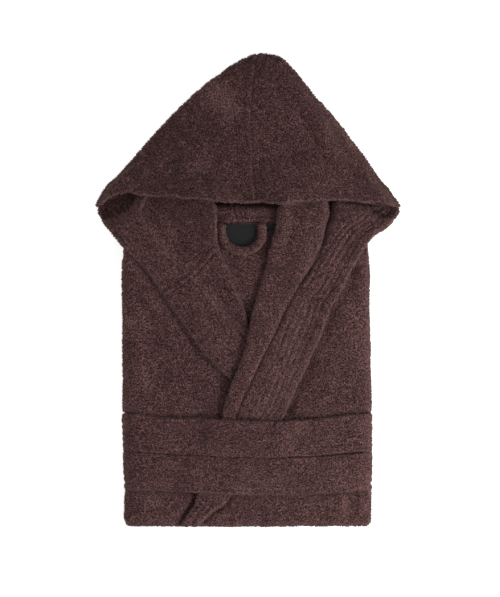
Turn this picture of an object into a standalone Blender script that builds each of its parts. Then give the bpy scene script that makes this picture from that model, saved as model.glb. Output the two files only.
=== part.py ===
"""A hooded terry bathrobe, folded for display and lying flat with its front up.

The skirt is folded under at the lower edge and the sleeves are folded behind, so those layers are
one rounded, layered solid. On it lie the pieces that show: the inside of the back, both fronts with
their turned-out lapels and bands, the hood laid flat with its mouth towards the hem, a hanging loop,
two small tags, and the belt wound twice round the whole.

X runs to the viewer's right, Y from the hem to the hood's peak and Z up from the surface that the
robe lies on. The origin is the middle of the area that the robe covers. Left and right are the
viewer's. Tables and working arrays are in millimetres, and the meshes are made in metres.
"""

import math
from collections import namedtuple

import bmesh
import bpy
import numpy as np

MM = 0.001

# Cloth
TERRY = 3.0  # one ply of looped terry, lying free
TWO_PLY = 5.5  # bands and belt: two plies stitched flat
GAP = 0.3  # between pieces that touch
SEAM = 0.6  # between the two halves of the hood
TAG = 0.9

# The folded stack
STACK_HEIGHT = 34.0
SIDE_BEND = 10.3  # bend of the front panels over the sides and the lower fold
LAPPED_BEND = 4.9  # the same where the other front and its band lie over it
LAP_START, LAP_END = -118.0, -100.0  # where the left front passes under the right front's band
CORNER_POWER = 2.6  # how square the lower corners are in plan

# Rolled edges of the lapels
ROLL_PUFF = 1.6  # how far a roll stands above the cloth beside it
ROLL_REACH = 12.0  # how far that rise spreads
LIP = 3.0  # how far the rolled cloth runs back underneath
SMALLEST_ROLL = 2.1
SWELL = 7.5  # how far the lapel stands up beside the deep crease right of the neck
CREASE = 6.0  # width over which it does so

# Where the hood turns out at its tips
TIP_FALL = 1.3  # slope of the cloth where it drops into the hood behind the ridge
TIP_DROP = 10.0  # width of that drop
TIP_RIDGE = 3.0  # how far the ridge stands up
TIP_RIDGE_REACH = 16.0
TIP_CURL = 4.5  # how far the rim curls up round the tip
TIP_CURL_REACH = 6.0
TIP_CURL_Y, TIP_CURL_EASE = 116.0, 8.0  # where the curl starts below the hood's fold

# Where the hood starts at the back of the neck
COLLAR_HEIGHT = 36.2  # of the middle of its cloth, as far as it stays level
COLLAR_END_Y = 109.5
COLLAR_FALL = 1.35

# Hood
HOOD_FOLD_RADIUS = 2.9
HOOD_TIP_RADIUS = 4.6
HOOD_LEAN = 25  # degrees by which the upper layer is already bent where the fold starts
HOOD_FOLD_END_Y = 143.5  # where the lower layer leaves the outline
HOOD_FALL = 0.42  # slope of the cloth that leads from the stack down to the surface
HOOD_CROWN = 41.0  # height of the crown seam at the mouth
HOOD_PUFF = 1.5  # how far the hood stands clear of what it lies on
PEAK_HEIGHT = 7.6
CREST_POWER = 1.25  # how soon the crown seam rises from the peak
ARCH_POWER = 2.3  # how flat the hood is across its top
MOUTH_POWER = 3  # how fast the line of the mouth fades towards the peak
TIP_POWER = 4  # how far out the wide fold of the tips begins

# Belt
BELT_PINCH = TWO_PLY + 2 * GAP  # how far it draws the sides in
BELT_BEND = SIDE_BEND + TERRY / 2 + 2 * GAP + TWO_PLY / 2
BELT_BOTTOM_BEND = 3.6
BELT_MARGIN = 1.2  # and how far beside its edges
BELT_EASE = 5.0  # length over which the sides come out again

# Edges of thick cloth
EDGE_ROUNDING = 0.3  # share of the thickness
EDGE_ANGLE = 65  # degrees above which an edge is rounded
SHARP_ANGLE = 50  # degrees above which an edge is not shaded smooth

# Height map
MAP_X, MAP_Y = 220, 336  # half its width and length
CELL = 2.0
SPREAD = 5  # cells by which cloth bridges a step
SOFTEN = 1  # cells by which a step is rounded

At = namedtuple("At", "x y")
Span = namedtuple("Span", "y left right")
Layer = namedtuple("Layer", "z inset")  # outline of the stack at one height
Paint = namedtuple("Paint", "name red green blue roughness")

TERRY_PAINT = Paint("terry_brown", 0.085, 0.044, 0.043, 0.95)
LABEL_PAINT = Paint("label_black", 0.014, 0.015, 0.016, 0.60)

SIDES = (
    Span(64, -170.8, 162.6),
    Span(56, -171.4, 163),
    Span(44, -171.4, 163),
    Span(20, -171, 163),
    Span(-14, -171.0, 163),
    Span(-68, -170.5, 164),
    Span(-135, -170.0, 165),
    Span(-155, -170.4, 165.6),
    Span(-195, -169.2, 165.5),
    Span(-235, -168.0, 165.4),
    Span(-275, -166.8, 165.3),
    Span(-300, -167.6, 165),
    Span(-319, -167.5, 164.5),
)
FOLD_Y = SIDES[-1].y + TERRY / 2 + SIDE_BEND  # where the fronts start to bend over the lower fold
LOWER_EDGE = (At(-168, -318.5), At(-66, -320), At(69, -319), At(165, -318))
LOWER_CORNER = (At(0.8, -312), At(2.6, -316.5), At(7.7, -318.4))  # x counted from the side

# Top of the stack, from left to right: shoulders either side of the neck
SHOULDERS = (
    At(-168, 48),
    At(-163, 57),
    At(-150, 64),
    At(-127, 70),
    At(-98, 79),
    At(-66, 86),
    At(-46, 92),
    At(-20, 94),
    At(12, 94),
    At(38, 92),
    At(60, 86),
    At(92, 79),
    At(119, 70),
    At(142, 64),
    At(155, 57),
    At(160, 48),
)
STACK_SIDE_Y = (28, -5, -45, -85, -120, -145, -154.5, -163.5, -190, -217, -245, -270.5, -279.5, -290, -300)
STACK_LOWER_X = (-150, -125, -100, -75, -50, -25, 0, 25, 50, 75, 100, 125, 148)
STACK_LAYERS = (
    Layer(0.0, 2.0),
    Layer(3.2, 0.2),
    Layer(6.3, 3.0),
    Layer(9.5, 0.7),
    Layer(12.6, 3.2),
    Layer(15.8, 0.2),
    Layer(18.9, 3.0),
    Layer(22.0, 1.0),
    Layer(24.6, 5.0),
    Layer(28.0, 9.6),
    Layer(31.0, 10.6),
    Layer(33.0, 12.6),
    Layer(STACK_HEIGHT, 15.5),
)

BELT_TOP = (
    At(-171, -165),
    At(-133, -171),
    At(-66, -174),
    At(2, -177),
    At(49, -177),
    At(96, -174),
    At(165, -165),
)
BELT_MIDDLE = (
    At(-171, -217),
    At(-133, -220),
    At(-66, -224),
    At(2, -226),
    At(69, -225),
    At(130, -221),
    At(165, -217),
)
BELT_LOWER = (At(-171, -269), At(-100, -271), At(-25, -275), At(29, -276), At(110, -273), At(165, -269))

# Inside of the back, seen in the V of the neck
BACK_LEFT = (At(-57, 91), At(-59, 60), At(-52, 20), At(-44, -30), At(-31, -84))
BACK_RIGHT = (At(50, 91), At(50, 60), At(46, 20), At(42, -30), At(37, -84))

# Inner edge of each front panel, from the shoulder down
FRONT_INNER_LEFT = (
    At(-60, 84),
    At(-53, 59),
    At(-39, 32),
    At(-29.5, 8),
    At(-21, -14),
    At(-13.5, -35),
    At(-8.5, -52),
    At(-7, -68),
    At(6, -80),
    At(20, -92),
    At(26, -110),
    At(28, -150),
    At(34, -205),
    At(70, -240),
    At(104, -266),
    At(116, -290),
    At(118, -320),
)
FRONT_INNER_RIGHT = (
    At(56, 84),
    At(44, 59),
    At(35, 34),
    At(25, 0),
    At(13.5, -43),
    At(9, -72),
    At(-1, -100),
    At(-12, -130),
    At(-19, -155),
    At(-24, -174),
    At(-22, -205),
)
FRONT_COLUMNS = 12
FRONT_ROWS_Y = (
    24,
    4,
    -15,
    -34,
    -53,
    -69,
    -85,
    -101,
    -117,
    -133,
    -144,
    -154.5,
    -163.5,
    -177,
    -190,
    -204,
    -217,
    -230,
    -244,
    -257,
    -270.5,
    -279.5,
    -288,
    -297,
)

# The left turn-out, from the table's side inwards: free rim, seam of hem or band, and rolled edge,
# first inside the hood as far as its tip, and then from there on. The ridge is where the hem starts
# to drop into the hood.
TIP_RIM_LEFT = (
    At(-181, 138),
    At(-187, 129.5),
    At(-195, 121.5),
    At(-203, 115.5),
    At(-204.5, 109),
    At(-200, 97),
    At(-188, 81),
)
TIP_HEM_LEFT = (At(-138, 138), At(-140, 122), At(-146, 106))
TIP_ROLL_LEFT = (At(-45, 138), At(-45, 117), At(-44.5, 101))
RIDGE_LEFT = (At(-200, 78), At(-188, 83), At(-172, 91), At(-158, 101), At(-149, 110), At(-144, 120), At(-141, 138))
HOOD_RIM_LEFT = (
    At(-188, 81),
    At(-183, 75),
    At(-169, 58),
    At(-144, 35),
    At(-127, 14),
    At(-113, -8),
)
HOOD_HEM_LEFT = (
    At(-146, 106),
    At(-143.5, 97),
    At(-136.5, 86),
    At(-124, 68),
    At(-105, 45),
    At(-87.5, 28),
    At(-75, 17.5),
)
HOOD_ROLL_LEFT = (At(-44.5, 101), At(-44, 92), At(-44, 73), At(-43, 62), At(-42, 54))
RIM_LEFT = (
    At(-112, -9.5),
    At(-98, -30),
    At(-83, -51),
    At(-69, -72),
    At(-48, -97),
    At(-25, -119),
    At(-8, -136),
)
BAND_SEAM_LEFT = (
    At(-74, 16),
    At(-60, -1),
    At(-43.5, -20),
    At(-27.5, -41),
    At(-10, -62),
    At(7, -86),
    At(22, -104),
)
ROLL_LEFT = (At(-41.5, 52.5), At(-33, 38), At(-23, 12), At(-12, -14), At(-4, -35), At(4.5, -60))
BAND_LEFT_ROWS = 12
LAPEL_LEFT_ROWS = 9  # the strip ends sooner than the band

# The right turn-out, in the same order
TIP_RIM_RIGHT = (At(170, 138), At(182, 127), At(194, 117.5), At(204.5, 111.5), At(199, 99), At(190, 88.5))
TIP_HEM_RIGHT = (At(110, 138), At(111, 126), At(112, 114))
TIP_ROLL_RIGHT = (At(44, 138), At(41, 116), At(40, 106))
RIDGE_RIGHT = (At(116, 138), At(119, 125), At(128, 117), At(146, 112), At(158, 104), At(170, 94), At(196, 85))
HOOD_RIM_RIGHT = (
    At(190, 88.5),
    At(182, 81.5),
    At(171, 76),
    At(164, 69),
    At(151, 48),
    At(139, 31),
    At(130, 9),
    At(111.5, -20),
)
HOOD_HEM_RIGHT = (
    At(112, 114),
    At(111, 99),
    At(106, 85),
    At(102, 65),
    At(96, 48),
    At(87, 31),
    At(78, 17),
    At(69.5, 5.5),
)
HOOD_ROLL_RIGHT = (At(40, 106), At(39, 99), At(38, 88), At(35, 74), At(32, 62), At(29, 50.5))
TIP_SHARES = (0, 0.3, 0.52, 0.68, 0.8, 0.9)
HOOD_BAND_SHARES = (0, 0.06, 0.13, 0.22, 0.34, 0.48, 0.64, 0.82, 1)
HOOD_BAND_COLUMNS = (0, 0.08, 0.18, 0.32, 0.48, 0.64, 0.78, 0.88, 0.95, 1)
RIM_RIGHT = (
    At(111, -21.5),
    At(102, -46),
    At(95, -65),
    At(85, -85),
    At(76, -105),
    At(66, -124),
    At(57, -146),
    At(49, -165),
    At(42, -178),
    At(31, -202),
)
BAND_SEAM_RIGHT = (
    At(69, 4),
    At(56, -20),
    At(46.5, -39),
    At(37.5, -58),
    At(27.5, -78),
    At(17.5, -99),
    At(6.5, -123),
    At(-7, -150),
    At(-16, -174),
    At(-25, -202),
)
ROLL_RIGHT = (
    At(28.5, 49),
    At(25, 32),
    At(19, 14),
    At(12, -9),
    At(5, -35),
    At(0, -68),
    At(-12, -100),
    At(-23, -127),
    At(-31, -153),
    At(-37, -174),
    At(-41, -200),
)
LOW_RIM = (At(-62, -243), At(-68, -270), At(-73, -290), At(-82, -304), At(-90, -317))
LOW_SEAM = (At(-14, -243), At(-20.5, -271), At(-32.5, -288), At(-51.5, -301), At(-67, -317))
LOW_SHARES = (0, 0.15, 0.3, 0.45, 0.6, 0.73, 0.858, 0.912, 0.958, 0.989, 1)

# The hood's outline from the peak to each tip, its seam over the crown, and its mouth
HOOD_LEFT_EDGE = (
    At(8.5, 319.8),
    At(-1, 316),
    At(-12, 311),
    At(-33, 297),
    At(-55, 282),
    At(-79, 261),
    At(-120, 219),
    At(-171, 162),
    At(-189, 143),
    At(-201, 132),
    At(-204.5, 122),
)
HOOD_RIGHT_EDGE = (
    At(15.5, 319.8),
    At(31, 318.5),
    At(43, 315),
    At(52, 308),
    At(70, 287),
    At(88, 266),
    At(128, 219),
    At(152, 187),
    At(169, 162),
    At(181, 145),
    At(195, 130),
    At(203, 121),
)
CROWN_SEAM = (At(12, 316.5), At(7, 290), At(4, 256), At(3, 230), At(4, 202), At(8, 148), At(12, 117))
LOWER_SEAM = (At(12, 316.5), At(-2, 240), At(-17, 139.6))
HOOD_SHARES = (0, 0.04, 0.1, 0.18, 0.27, 0.36, 0.45, 0.54, 0.63, 0.72, 0.81, 0.88, 0.94, 1)
NECK_CENTRE_SEAM = (At(-17, 139), At(-21, 115), At(-15, 91.7))
NECK_SHARES = (0, 0.25, 0.42, 0.49, 0.56, 0.64, 0.8, 1)
NECK_LEFT_X, NECK_RIGHT_X = -53.0, 49.0
LAPEL_COLUMNS = (0, 0.05, 0.13, 0.32, 0.54, 0.77, 1)
MOUTH = (
    At(-204, 124),
    At(-194, 126),
    At(-171, 131),
    At(-133, 128),
    At(-79, 124),
    At(-46, 121),
    At(2, 118),
    At(39, 117),
    At(76, 121),
    At(116, 121),
    At(164, 119),
    At(203, 117),
)

HANGING_LOOP = (At(-37, 88), At(-36, 72), At(-29, 60), At(-9, 53), At(8, 57), At(17, 68), At(18, 88))
LOOP_WIDTH = 11.5
LOOP_THICKNESS = 4.0
LABEL_LEFT = (At(-34, 88.5), At(-34, 74), At(-32, 59))
LABEL_RIGHT = (At(9, 88.5), At(9, 74), At(7, 59))
TAG_LEFT = (At(23, 88.5), At(23, 80))
TAG_RIGHT = (At(37, 88.5), At(37, 80))


def curve(knots, values, at):
    """The smooth curve through a table's values, read at other places."""
    knots, values = np.asarray(knots, float), np.asarray(values, float)
    step = np.diff(knots)
    rise = np.diff(values) / step
    slope = np.empty_like(values)
    slope[0], slope[-1] = rise[0], rise[-1]
    slope[1:-1] = (rise[:-1] * step[1:] + rise[1:] * step[:-1]) / (step[:-1] + step[1:])
    at = np.clip(at, knots[0], knots[-1])
    i = np.clip(np.searchsorted(knots, at, side="right") - 1, 0, len(step) - 1)
    t = (at - knots[i]) / step[i]
    start, end = values[i], values[i + 1]
    lead = step[i] * (slope[i] * t * (1 - t) ** 2 - slope[i + 1] * t**2 * (1 - t))
    return start + (end - start) * t * t * (3 - 2 * t) + lead


def read(table, column, by, at):
    """One named column of a table, read by another that rises or falls all the way."""
    rows = sorted(table, key=lambda row: getattr(row, by))
    return curve([getattr(r, by) for r in rows], [getattr(r, column) for r in rows], at)


def along(table, at):
    """Points at these shares of the way along a table of places."""
    points = np.array(table, float)
    way = np.concatenate([[0], np.cumsum(np.hypot(*np.diff(points, axis=0).T))])
    return np.stack([curve(way, points[:, k], np.asarray(at) * way[-1]) for k in range(2)], axis=-1)


def even(count):
    return np.linspace(0, 1, count)


def net(first_line, last_line, shares, columns, first_gap=GAP, last_gap=0.0, first_end=1.0):
    """Points across a piece, from one line to another, clear of each line by its gap."""
    shares = np.asarray(shares)
    first, last = along(first_line, shares * first_end), along(last_line, shares)
    across = (last - first) / np.linalg.norm(last - first, axis=-1, keepdims=True)
    first, last = first + across * first_gap, last - across * last_gap
    columns = even(columns) if isinstance(columns, int) else np.array(columns)
    return first[:, None] + (last - first)[:, None] * columns[None, :, None]


def spread(values, reach):
    """The highest value within a few cells of each cell."""
    for axis in (0, 1):
        padded = np.pad(values, [(reach, reach) if a == axis else (0, 0) for a in (0, 1)], mode="edge")
        size = values.shape[axis]
        values = np.max([np.take(padded, range(k, k + size), axis) for k in range(2 * reach + 1)], axis=0)
    return values


def soften(values, reach):
    """The mean value within a few cells of each cell."""
    for axis in (0, 1):
        padded = np.pad(values, [(reach, reach) if a == axis else (0, 0) for a in (0, 1)], mode="edge")
        size = values.shape[axis]
        values = np.mean([np.take(padded, range(k, k + size), axis) for k in range(2 * reach + 1)], axis=0)
    return values


class Cover:
    """The surface that the next piece lies on: what is there already, bridged and rounded."""

    def __init__(self, pile, fall):
        z = pile.z.copy()
        neighbours = [(i, j) for i in (-1, 0, 1) for j in (-1, 0, 1) if i or j]
        for _ in range(math.ceil(z.max() / (fall * CELL))):
            padded = np.pad(z, 1, mode="edge")
            before = z
            for i, j in neighbours:
                side = padded[1 + i : 1 + i + z.shape[0], 1 + j : 1 + j + z.shape[1]]
                z = np.maximum(z, side - fall * CELL * math.hypot(i, j))
            if np.array_equal(z, before):
                break
        self.pile = pile
        self.z = soften(soften(spread(z, SPREAD), SOFTEN), SOFTEN)
        down, across = np.gradient(self.z, CELL)
        self.stretch = np.sqrt(1 + down**2 + across**2)

    def rest(self, places, thickness):
        """Heights of the middle of cloth that lies on this cover at these places."""
        z, stretch = (self.pile.sample(grid, places) for grid in (self.z, self.stretch))
        return z + np.minimum(z, GAP) + thickness / 2 * stretch


class Pile:
    """Heights of all that lies there so far, on a square grid."""

    def __init__(self):
        self.x = np.arange(-MAP_X, MAP_X + 1, CELL)
        self.y = np.arange(-MAP_Y, MAP_Y + 1, CELL)
        self.z = np.zeros((len(self.y), len(self.x)))

    def sample(self, grid, places):
        """A grid's values between its cells."""
        u = np.clip((places[..., 0] - self.x[0]) / CELL, 0, len(self.x) - 1.001)
        v = np.clip((places[..., 1] - self.y[0]) / CELL, 0, len(self.y) - 1.001)
        i, j = v.astype(int), u.astype(int)
        a, b = v - i, u - j
        low = grid[i, j] * (1 - b) + grid[i, j + 1] * b
        high = grid[i + 1, j] * (1 - b) + grid[i + 1, j + 1] * b
        return low * (1 - a) + high * a

    def lay(self, surface, lift):
        """Raises the grid to a net of points moved up by lift."""
        fine = surface
        for axis in (0, 1):
            longest = np.abs(np.diff(fine[..., :2], axis=axis)).max()
            parts = max(1, math.ceil(longest / (0.7 * CELL)))
            size = fine.shape[axis]
            at = np.arange((size - 1) * parts + 1) / parts
            i = np.minimum(at.astype(int), size - 2)
            t = (at - i).reshape([-1 if a == axis else 1 for a in range(3)])
            fine = np.take(fine, i, axis) * (1 - t) + np.take(fine, i + 1, axis) * t
        j = np.rint((fine[..., 0] - self.x[0]) / CELL).astype(int)
        i = np.rint((fine[..., 1] - self.y[0]) / CELL).astype(int)
        np.maximum.at(self.z, (i, j), fine[..., 2] + lift)


def belt_pinch(y):
    """1 where the belt goes round, 0 away from it."""
    above = np.clip((y - BELT_TOP[0].y - BELT_MARGIN) / BELT_EASE, 0, 1)
    below = np.clip((BELT_LOWER[0].y - BELT_MARGIN - y) / BELT_EASE, 0, 1)
    share = 1 - np.maximum(above, below)
    return share * share * (3 - 2 * share)


def material(paint):
    found = bpy.data.materials.get(paint.name)
    if found:
        return found
    made = bpy.data.materials.new(paint.name)
    made.use_nodes = True
    shader = made.node_tree.nodes["Principled BSDF"]
    shader.inputs["Base Color"].default_value = (paint.red, paint.green, paint.blue, 1)
    shader.inputs["Roughness"].default_value = paint.roughness
    shader.inputs["Metallic"].default_value = 0
    made.diffuse_color = (paint.red, paint.green, paint.blue, 1)
    return made


def add_object(name, bm, paint, collection):
    mesh = bpy.data.meshes.new(name)
    bm.to_mesh(mesh)
    bm.free()
    made = bpy.data.objects.new(name, mesh)
    collection.objects.link(made)
    if paint:
        mesh.materials.append(material(paint))
        mesh.shade_smooth()
        mesh.set_sharp_from_angle(angle=math.radians(SHARP_ANGLE))
    return made


def add_cloth(name, middle, thickness, collection, paint=TERRY_PAINT, ring=False, rounded=False):
    """Cloth of a given thickness about a net of points on its middle."""
    rows, columns = middle.shape[:2]
    bm = bmesh.new()
    bmesh.ops.create_grid(bm, x_segments=columns - 1, y_segments=rows - 1, size=0.5)
    for vert, place in zip(bm.verts, middle.reshape(-1, 3)):
        vert.co = place * MM
    if ring:
        bmesh.ops.remove_doubles(bm, verts=bm.verts, dist=1e-6)
    made = add_object(name, bm, paint, collection)
    wall = made.modifiers.new("wall", "SOLIDIFY")
    wall.thickness = thickness * MM
    wall.offset = 0
    wall.use_even_offset = True
    if rounded:
        edge = made.modifiers.new("edge", "BEVEL")
        edge.width = EDGE_ROUNDING * thickness * MM
        edge.segments = 1
        edge.limit_method = "ANGLE"
        edge.angle_limit = math.radians(EDGE_ANGLE)
    return made


def raised(surface, cover, thickness):
    """A net lifted until no part of it, between its points too, dips into the cover."""
    a, b, c, d = surface[:-1, :-1], surface[:-1, 1:], surface[1:, :-1], surface[1:, 1:]
    u = even(6)[:, None, None, None, None]
    v = even(6)[None, :, None, None, None]
    one = np.where(v >= u, a + v * (b - a) + u * (d - b), a + u * (c - a) + v * (d - c))
    other = np.where(u + v <= 1, a + v * (b - a) + u * (c - a), d + (1 - v) * (c - d) + (1 - u) * (b - d))
    lack = [cover.rest(half[..., :2], thickness) - half[..., 2] for half in (one, other)]
    need = np.pad(np.max(lack, axis=(0, 1, 2)).clip(0), 1)
    lift = np.max([need[:-1, :-1], need[:-1, 1:], need[1:, :-1], need[1:, 1:]], axis=0)
    return surface + lift[..., None] * [0, 0, 1]


def flat_piece(places, cover, thickness):
    """A net of places laid on a cover."""
    laid = np.concatenate([places, cover.rest(places, thickness)[..., None]], axis=-1)
    return raised(laid, cover, thickness)


def rolled_piece(places, upper, lower, thickness, swell=0.0):
    """A strip laid on one cover whose last edge rolls down and back along another, lower one.

    Beyond its first edge the strip can stand up from its cover by a swell, one for each row.
    """
    first, line = places[:, :1], places[:, -1:]
    from_edge = np.linalg.norm(places - first, axis=-1)
    stand = np.reshape(swell, (-1, 1)) * np.minimum(from_edge / CREASE, 1)
    outward = line - first
    outward /= np.linalg.norm(outward, axis=-1, keepdims=True)
    low = lower.rest(line, thickness)
    high = upper.rest(line, thickness) + ROLL_PUFF + stand[:, -1:]
    radius = np.maximum((high - low) / 2, SMALLEST_ROLL)
    centre = line - outward * (radius + thickness / 2)[..., None]
    strip = first + (centre - first) * (from_edge / from_edge[:, -1:])[..., None]
    z = flat_piece(strip, upper, thickness)[..., 2] + stand
    near = np.exp(-((np.linalg.norm(centre - strip, axis=-1) / ROLL_REACH) ** 2))
    z = z + (low + 2 * radius - z[:, -1:]) * near
    bend = np.radians([45, 90, 135, 180])[None, :]
    roll = centre + outward * (radius * np.sin(bend))[..., None]
    roll_z = low + radius + radius * np.cos(bend)
    lip = centre - outward * LIP
    middle = np.concatenate([strip, roll, lip], axis=1)
    heights = np.concatenate([z, roll_z, lower.rest(lip, thickness)], axis=1)
    middle = np.concatenate([middle, heights[..., None]], axis=-1)
    return np.concatenate([middle[:, :-3], raised(middle[:, -3:], lower, thickness)], axis=1)


def stack_outline():
    """The stack's outline at its widest, how far the belt draws each point in, and inward normals."""
    left = [At(read(SIDES, "left", "y", y), y) for y in STACK_SIDE_Y]
    right = [At(read(SIDES, "right", "y", y), y) for y in STACK_SIDE_Y]
    lower = [At(x, read(LOWER_EDGE, "y", "x", x)) for x in STACK_LOWER_X]
    low_left = [At(left[-1].x + p.x, p.y) for p in LOWER_CORNER]
    low_right = [At(right[-1].x - p.x, p.y) for p in reversed(LOWER_CORNER)]
    points = np.array([*left, *low_left, *lower, *low_right, *reversed(right), *reversed(SHOULDERS)], float)
    ahead, behind = np.roll(points, -1, axis=0), np.roll(points, 1, axis=0)
    chord = ahead - behind
    inward = np.stack([-chord[:, 1], chord[:, 0]], axis=-1)
    inward /= np.linalg.norm(inward, axis=-1, keepdims=True)
    draw = belt_pinch(points[:, 1]) * BELT_PINCH * np.abs(inward[:, 0])
    return points, draw, inward


def folded_body(collection, cutters):
    """The hidden layers: sleeves, back and the skirt folded under, as one layered solid."""
    points, draw, inward = stack_outline()
    bm = bmesh.new()
    rings = []
    for layer in STACK_LAYERS:
        ring = points + inward * (draw + layer.inset)[:, None]
        rings.append([bm.verts.new((x * MM, y * MM, layer.z * MM)) for x, y in ring])
    for under, over in zip(rings, rings[1:]):
        for k in range(len(under)):
            n = (k + 1) % len(under)
            bm.faces.new((under[k], under[n], over[n], over[k]))
    bm.faces.new(reversed(rings[0]))
    bm.faces.new(rings[-1])
    bmesh.ops.recalc_face_normals(bm, faces=bm.faces)
    body = add_object("folded_body", bm, TERRY_PAINT, collection)

    top, low = BELT_TOP[0].y + 2, min(p.y for p in BELT_LOWER) - 2
    depth = TWO_PLY + GAP
    bm = bmesh.new()
    bmesh.ops.create_cube(bm, size=1)
    bmesh.ops.scale(bm, vec=(2 * MAP_X * MM, (top - low) * MM, 2 * depth * MM), verts=bm.verts)
    bmesh.ops.translate(bm, vec=(0, (top + low) / 2 * MM, 0), verts=bm.verts)
    cutter = add_object("belt_recess_cutter", bm, None, cutters)
    cutter.hide_render = True
    cutter.display_type = "WIRE"
    recess = body.modifiers.new("belt_recess", "BOOLEAN")
    recess.object = cutter
    recess.operation = "DIFFERENCE"
    recess.solver = "EXACT"

    ring = points + inward * (draw + STACK_LAYERS[-1].inset)[:, None]
    centre = ring.mean(axis=0)
    top = np.stack([centre + (ring - centre) * share for share in even(40)])
    top = np.concatenate([top, top[:, :1]], axis=1)
    return np.concatenate([top, np.full(top.shape[:2] + (1,), STACK_HEIGHT)], axis=-1)


def front_panel(inner_line, side, cover, lapped):
    """A front panel: flat on the cover, bent down over the stack's side and lower fold."""
    inward = -1 if side == "right" else 1
    bend = 1 - np.sin(np.radians([90, 60, 30, 0]))
    top = SIDES[0].y
    highest = FRONT_ROWS_Y[0]
    rows = np.array([top, (top + highest) / 2, *FRONT_ROWS_Y, *(FOLD_Y - SIDE_BEND * (1 - bend[::-1]))])
    rise = (inner_line[0].y - top) * np.clip((rows - highest) / (top - highest), 0, 1)
    inner_x = read(inner_line, "x", "y", rows + rise)
    side_x = read(SIDES, side, "y", rows) + inward * (TERRY / 2 + belt_pinch(rows) * BELT_PINCH)
    width = np.abs(inner_x - side_x)[:, None]
    edge = np.tile(SIDE_BEND * bend, (len(rows), 1))
    away = np.concatenate([edge, SIDE_BEND + (width - SIDE_BEND) * even(FRONT_COLUMNS + 1)[1:]], axis=1)
    x = side_x[:, None] + inward * away
    y = rows[:, None] + rise[:, None] * away / width

    lap = np.clip((x - LAP_START) / (LAP_END - LAP_START), 0, 1) if lapped else 0
    low_bend = SIDE_BEND + (LAPPED_BEND - SIDE_BEND) * lap
    below = (FOLD_Y - y).clip(0, SIDE_BEND) / SIDE_BEND
    beside = (SIDE_BEND - away).clip(0, SIDE_BEND) / SIDE_BEND
    most = np.maximum(below, beside)
    size = (below**CORNER_POWER + beside**CORNER_POWER) ** (1 / CORNER_POWER)
    round_off = most / np.maximum(size, 1e-9)  # rounds the corner in plan
    start_x = x + inward * beside * SIDE_BEND
    start_y = np.maximum(y, FOLD_Y)
    start = np.stack([start_x, start_y], axis=-1)
    flat = flat_piece(start, cover, TERRY)
    flat[..., 0] -= inward * beside * SIDE_BEND * round_off
    flat[..., 1] -= below * low_bend * round_off
    flat[..., 2] -= low_bend * (1 - np.sqrt(1 - most**2))
    return flat


def low_band(cover):
    """The stretch of the right front's band below the belt, bent over the lower fold with it."""
    radius = LAPPED_BEND + TERRY / 2 + 2 * GAP + TWO_PLY / 2
    places = net(LOW_RIM, LOW_SEAM, LOW_SHARES, 5, first_gap=0, last_gap=GAP)
    start = np.stack([places[..., 0], np.maximum(places[..., 1], FOLD_Y)], axis=-1)
    band = flat_piece(start, cover, TWO_PLY)
    below = np.minimum((FOLD_Y - places[..., 1]).clip(0) / radius, 1)
    band[..., 1] = np.minimum(start[..., 1], FOLD_Y) - below * radius + (start[..., 1] - FOLD_Y)
    band[..., 2] += GAP - radius * (1 - np.sqrt(1 - below**2))
    return band


def hood_half(side, cover_low, cover_high):
    """One panel of the hood: upper layer from the crown seam, fold at the outline, lower layer."""
    shares = np.array(HOOD_SHARES)
    aside = [-SEAM / 2 if side == "left" else SEAM / 2, 0]
    edge = HOOD_LEFT_EDGE if side == "left" else HOOD_RIGHT_EDGE
    crown = along(CROWN_SEAM, shares) + aside
    beneath = along(LOWER_SEAM, shares) + aside
    fine = even(201)
    fold_end = np.interp(-HOOD_FOLD_END_Y, -along(edge, fine)[:, 1], fine)
    radius = HOOD_FOLD_RADIUS + (HOOD_TIP_RADIUS - HOOD_FOLD_RADIUS) * shares**TIP_POWER

    def fold_centre(at):
        outline = along(edge, at)
        outward = outline - crown
        outward /= np.linalg.norm(outward, axis=-1, keepdims=True)
        return outline - outward * (radius + TERRY / 2)[:, None], outward

    upper_centre, outward = fold_centre(shares)
    lower_centre, _ = fold_centre(shares * fold_end)
    bend = np.linspace(math.radians(HOOD_LEAN), math.pi, 5)[None, :]
    share = (bend / (math.pi / 2) - 1).clip(0)[..., None]
    fold = upper_centre[:, None] * (1 - share) + lower_centre[:, None] * share
    low = cover_low.rest(fold, TERRY) + GAP / 3
    fold = fold + outward[:, None] * (radius[:, None] * np.sin(bend))[..., None]
    fold_z = low + radius[:, None] * (1 + np.cos(bend))

    out = np.array([0, 0.12, 0.25, 0.38, 0.51, 0.64, 0.76, 0.86, 0.94])[None, :]
    upper = crown[:, None] + (fold[:, :1] - crown[:, None]) * out[..., None]
    bulge = read(MOUTH, "y", "x", upper[-1:, :, 0]) - upper[-1:, :, 1]
    upper[..., 1] += bulge * shares[:, None] ** MOUTH_POWER
    height = PEAK_HEIGHT + (HOOD_CROWN - PEAK_HEIGHT) * (1 - (1 - shares) ** CREST_POWER)
    arch = fold_z[:, :1] + (height[:, None] - fold_z[:, :1]) * (1 - out**ARCH_POWER)
    resting = flat_piece(upper, cover_high, TERRY)[..., 2] + HOOD_PUFF * (1 - out)
    upper = np.concatenate([upper, np.maximum(arch, resting)[..., None]], axis=-1)

    back = np.array([0.12, 0.3, 0.5, 0.7, 0.87, 1.0])[None, :, None]
    lower = flat_piece(lower_centre[:, None] + (beneath - lower_centre)[:, None] * back, cover_low, TERRY)
    return np.concatenate([upper, np.concatenate([fold, fold_z[..., None]], axis=-1), lower], axis=1)


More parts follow.
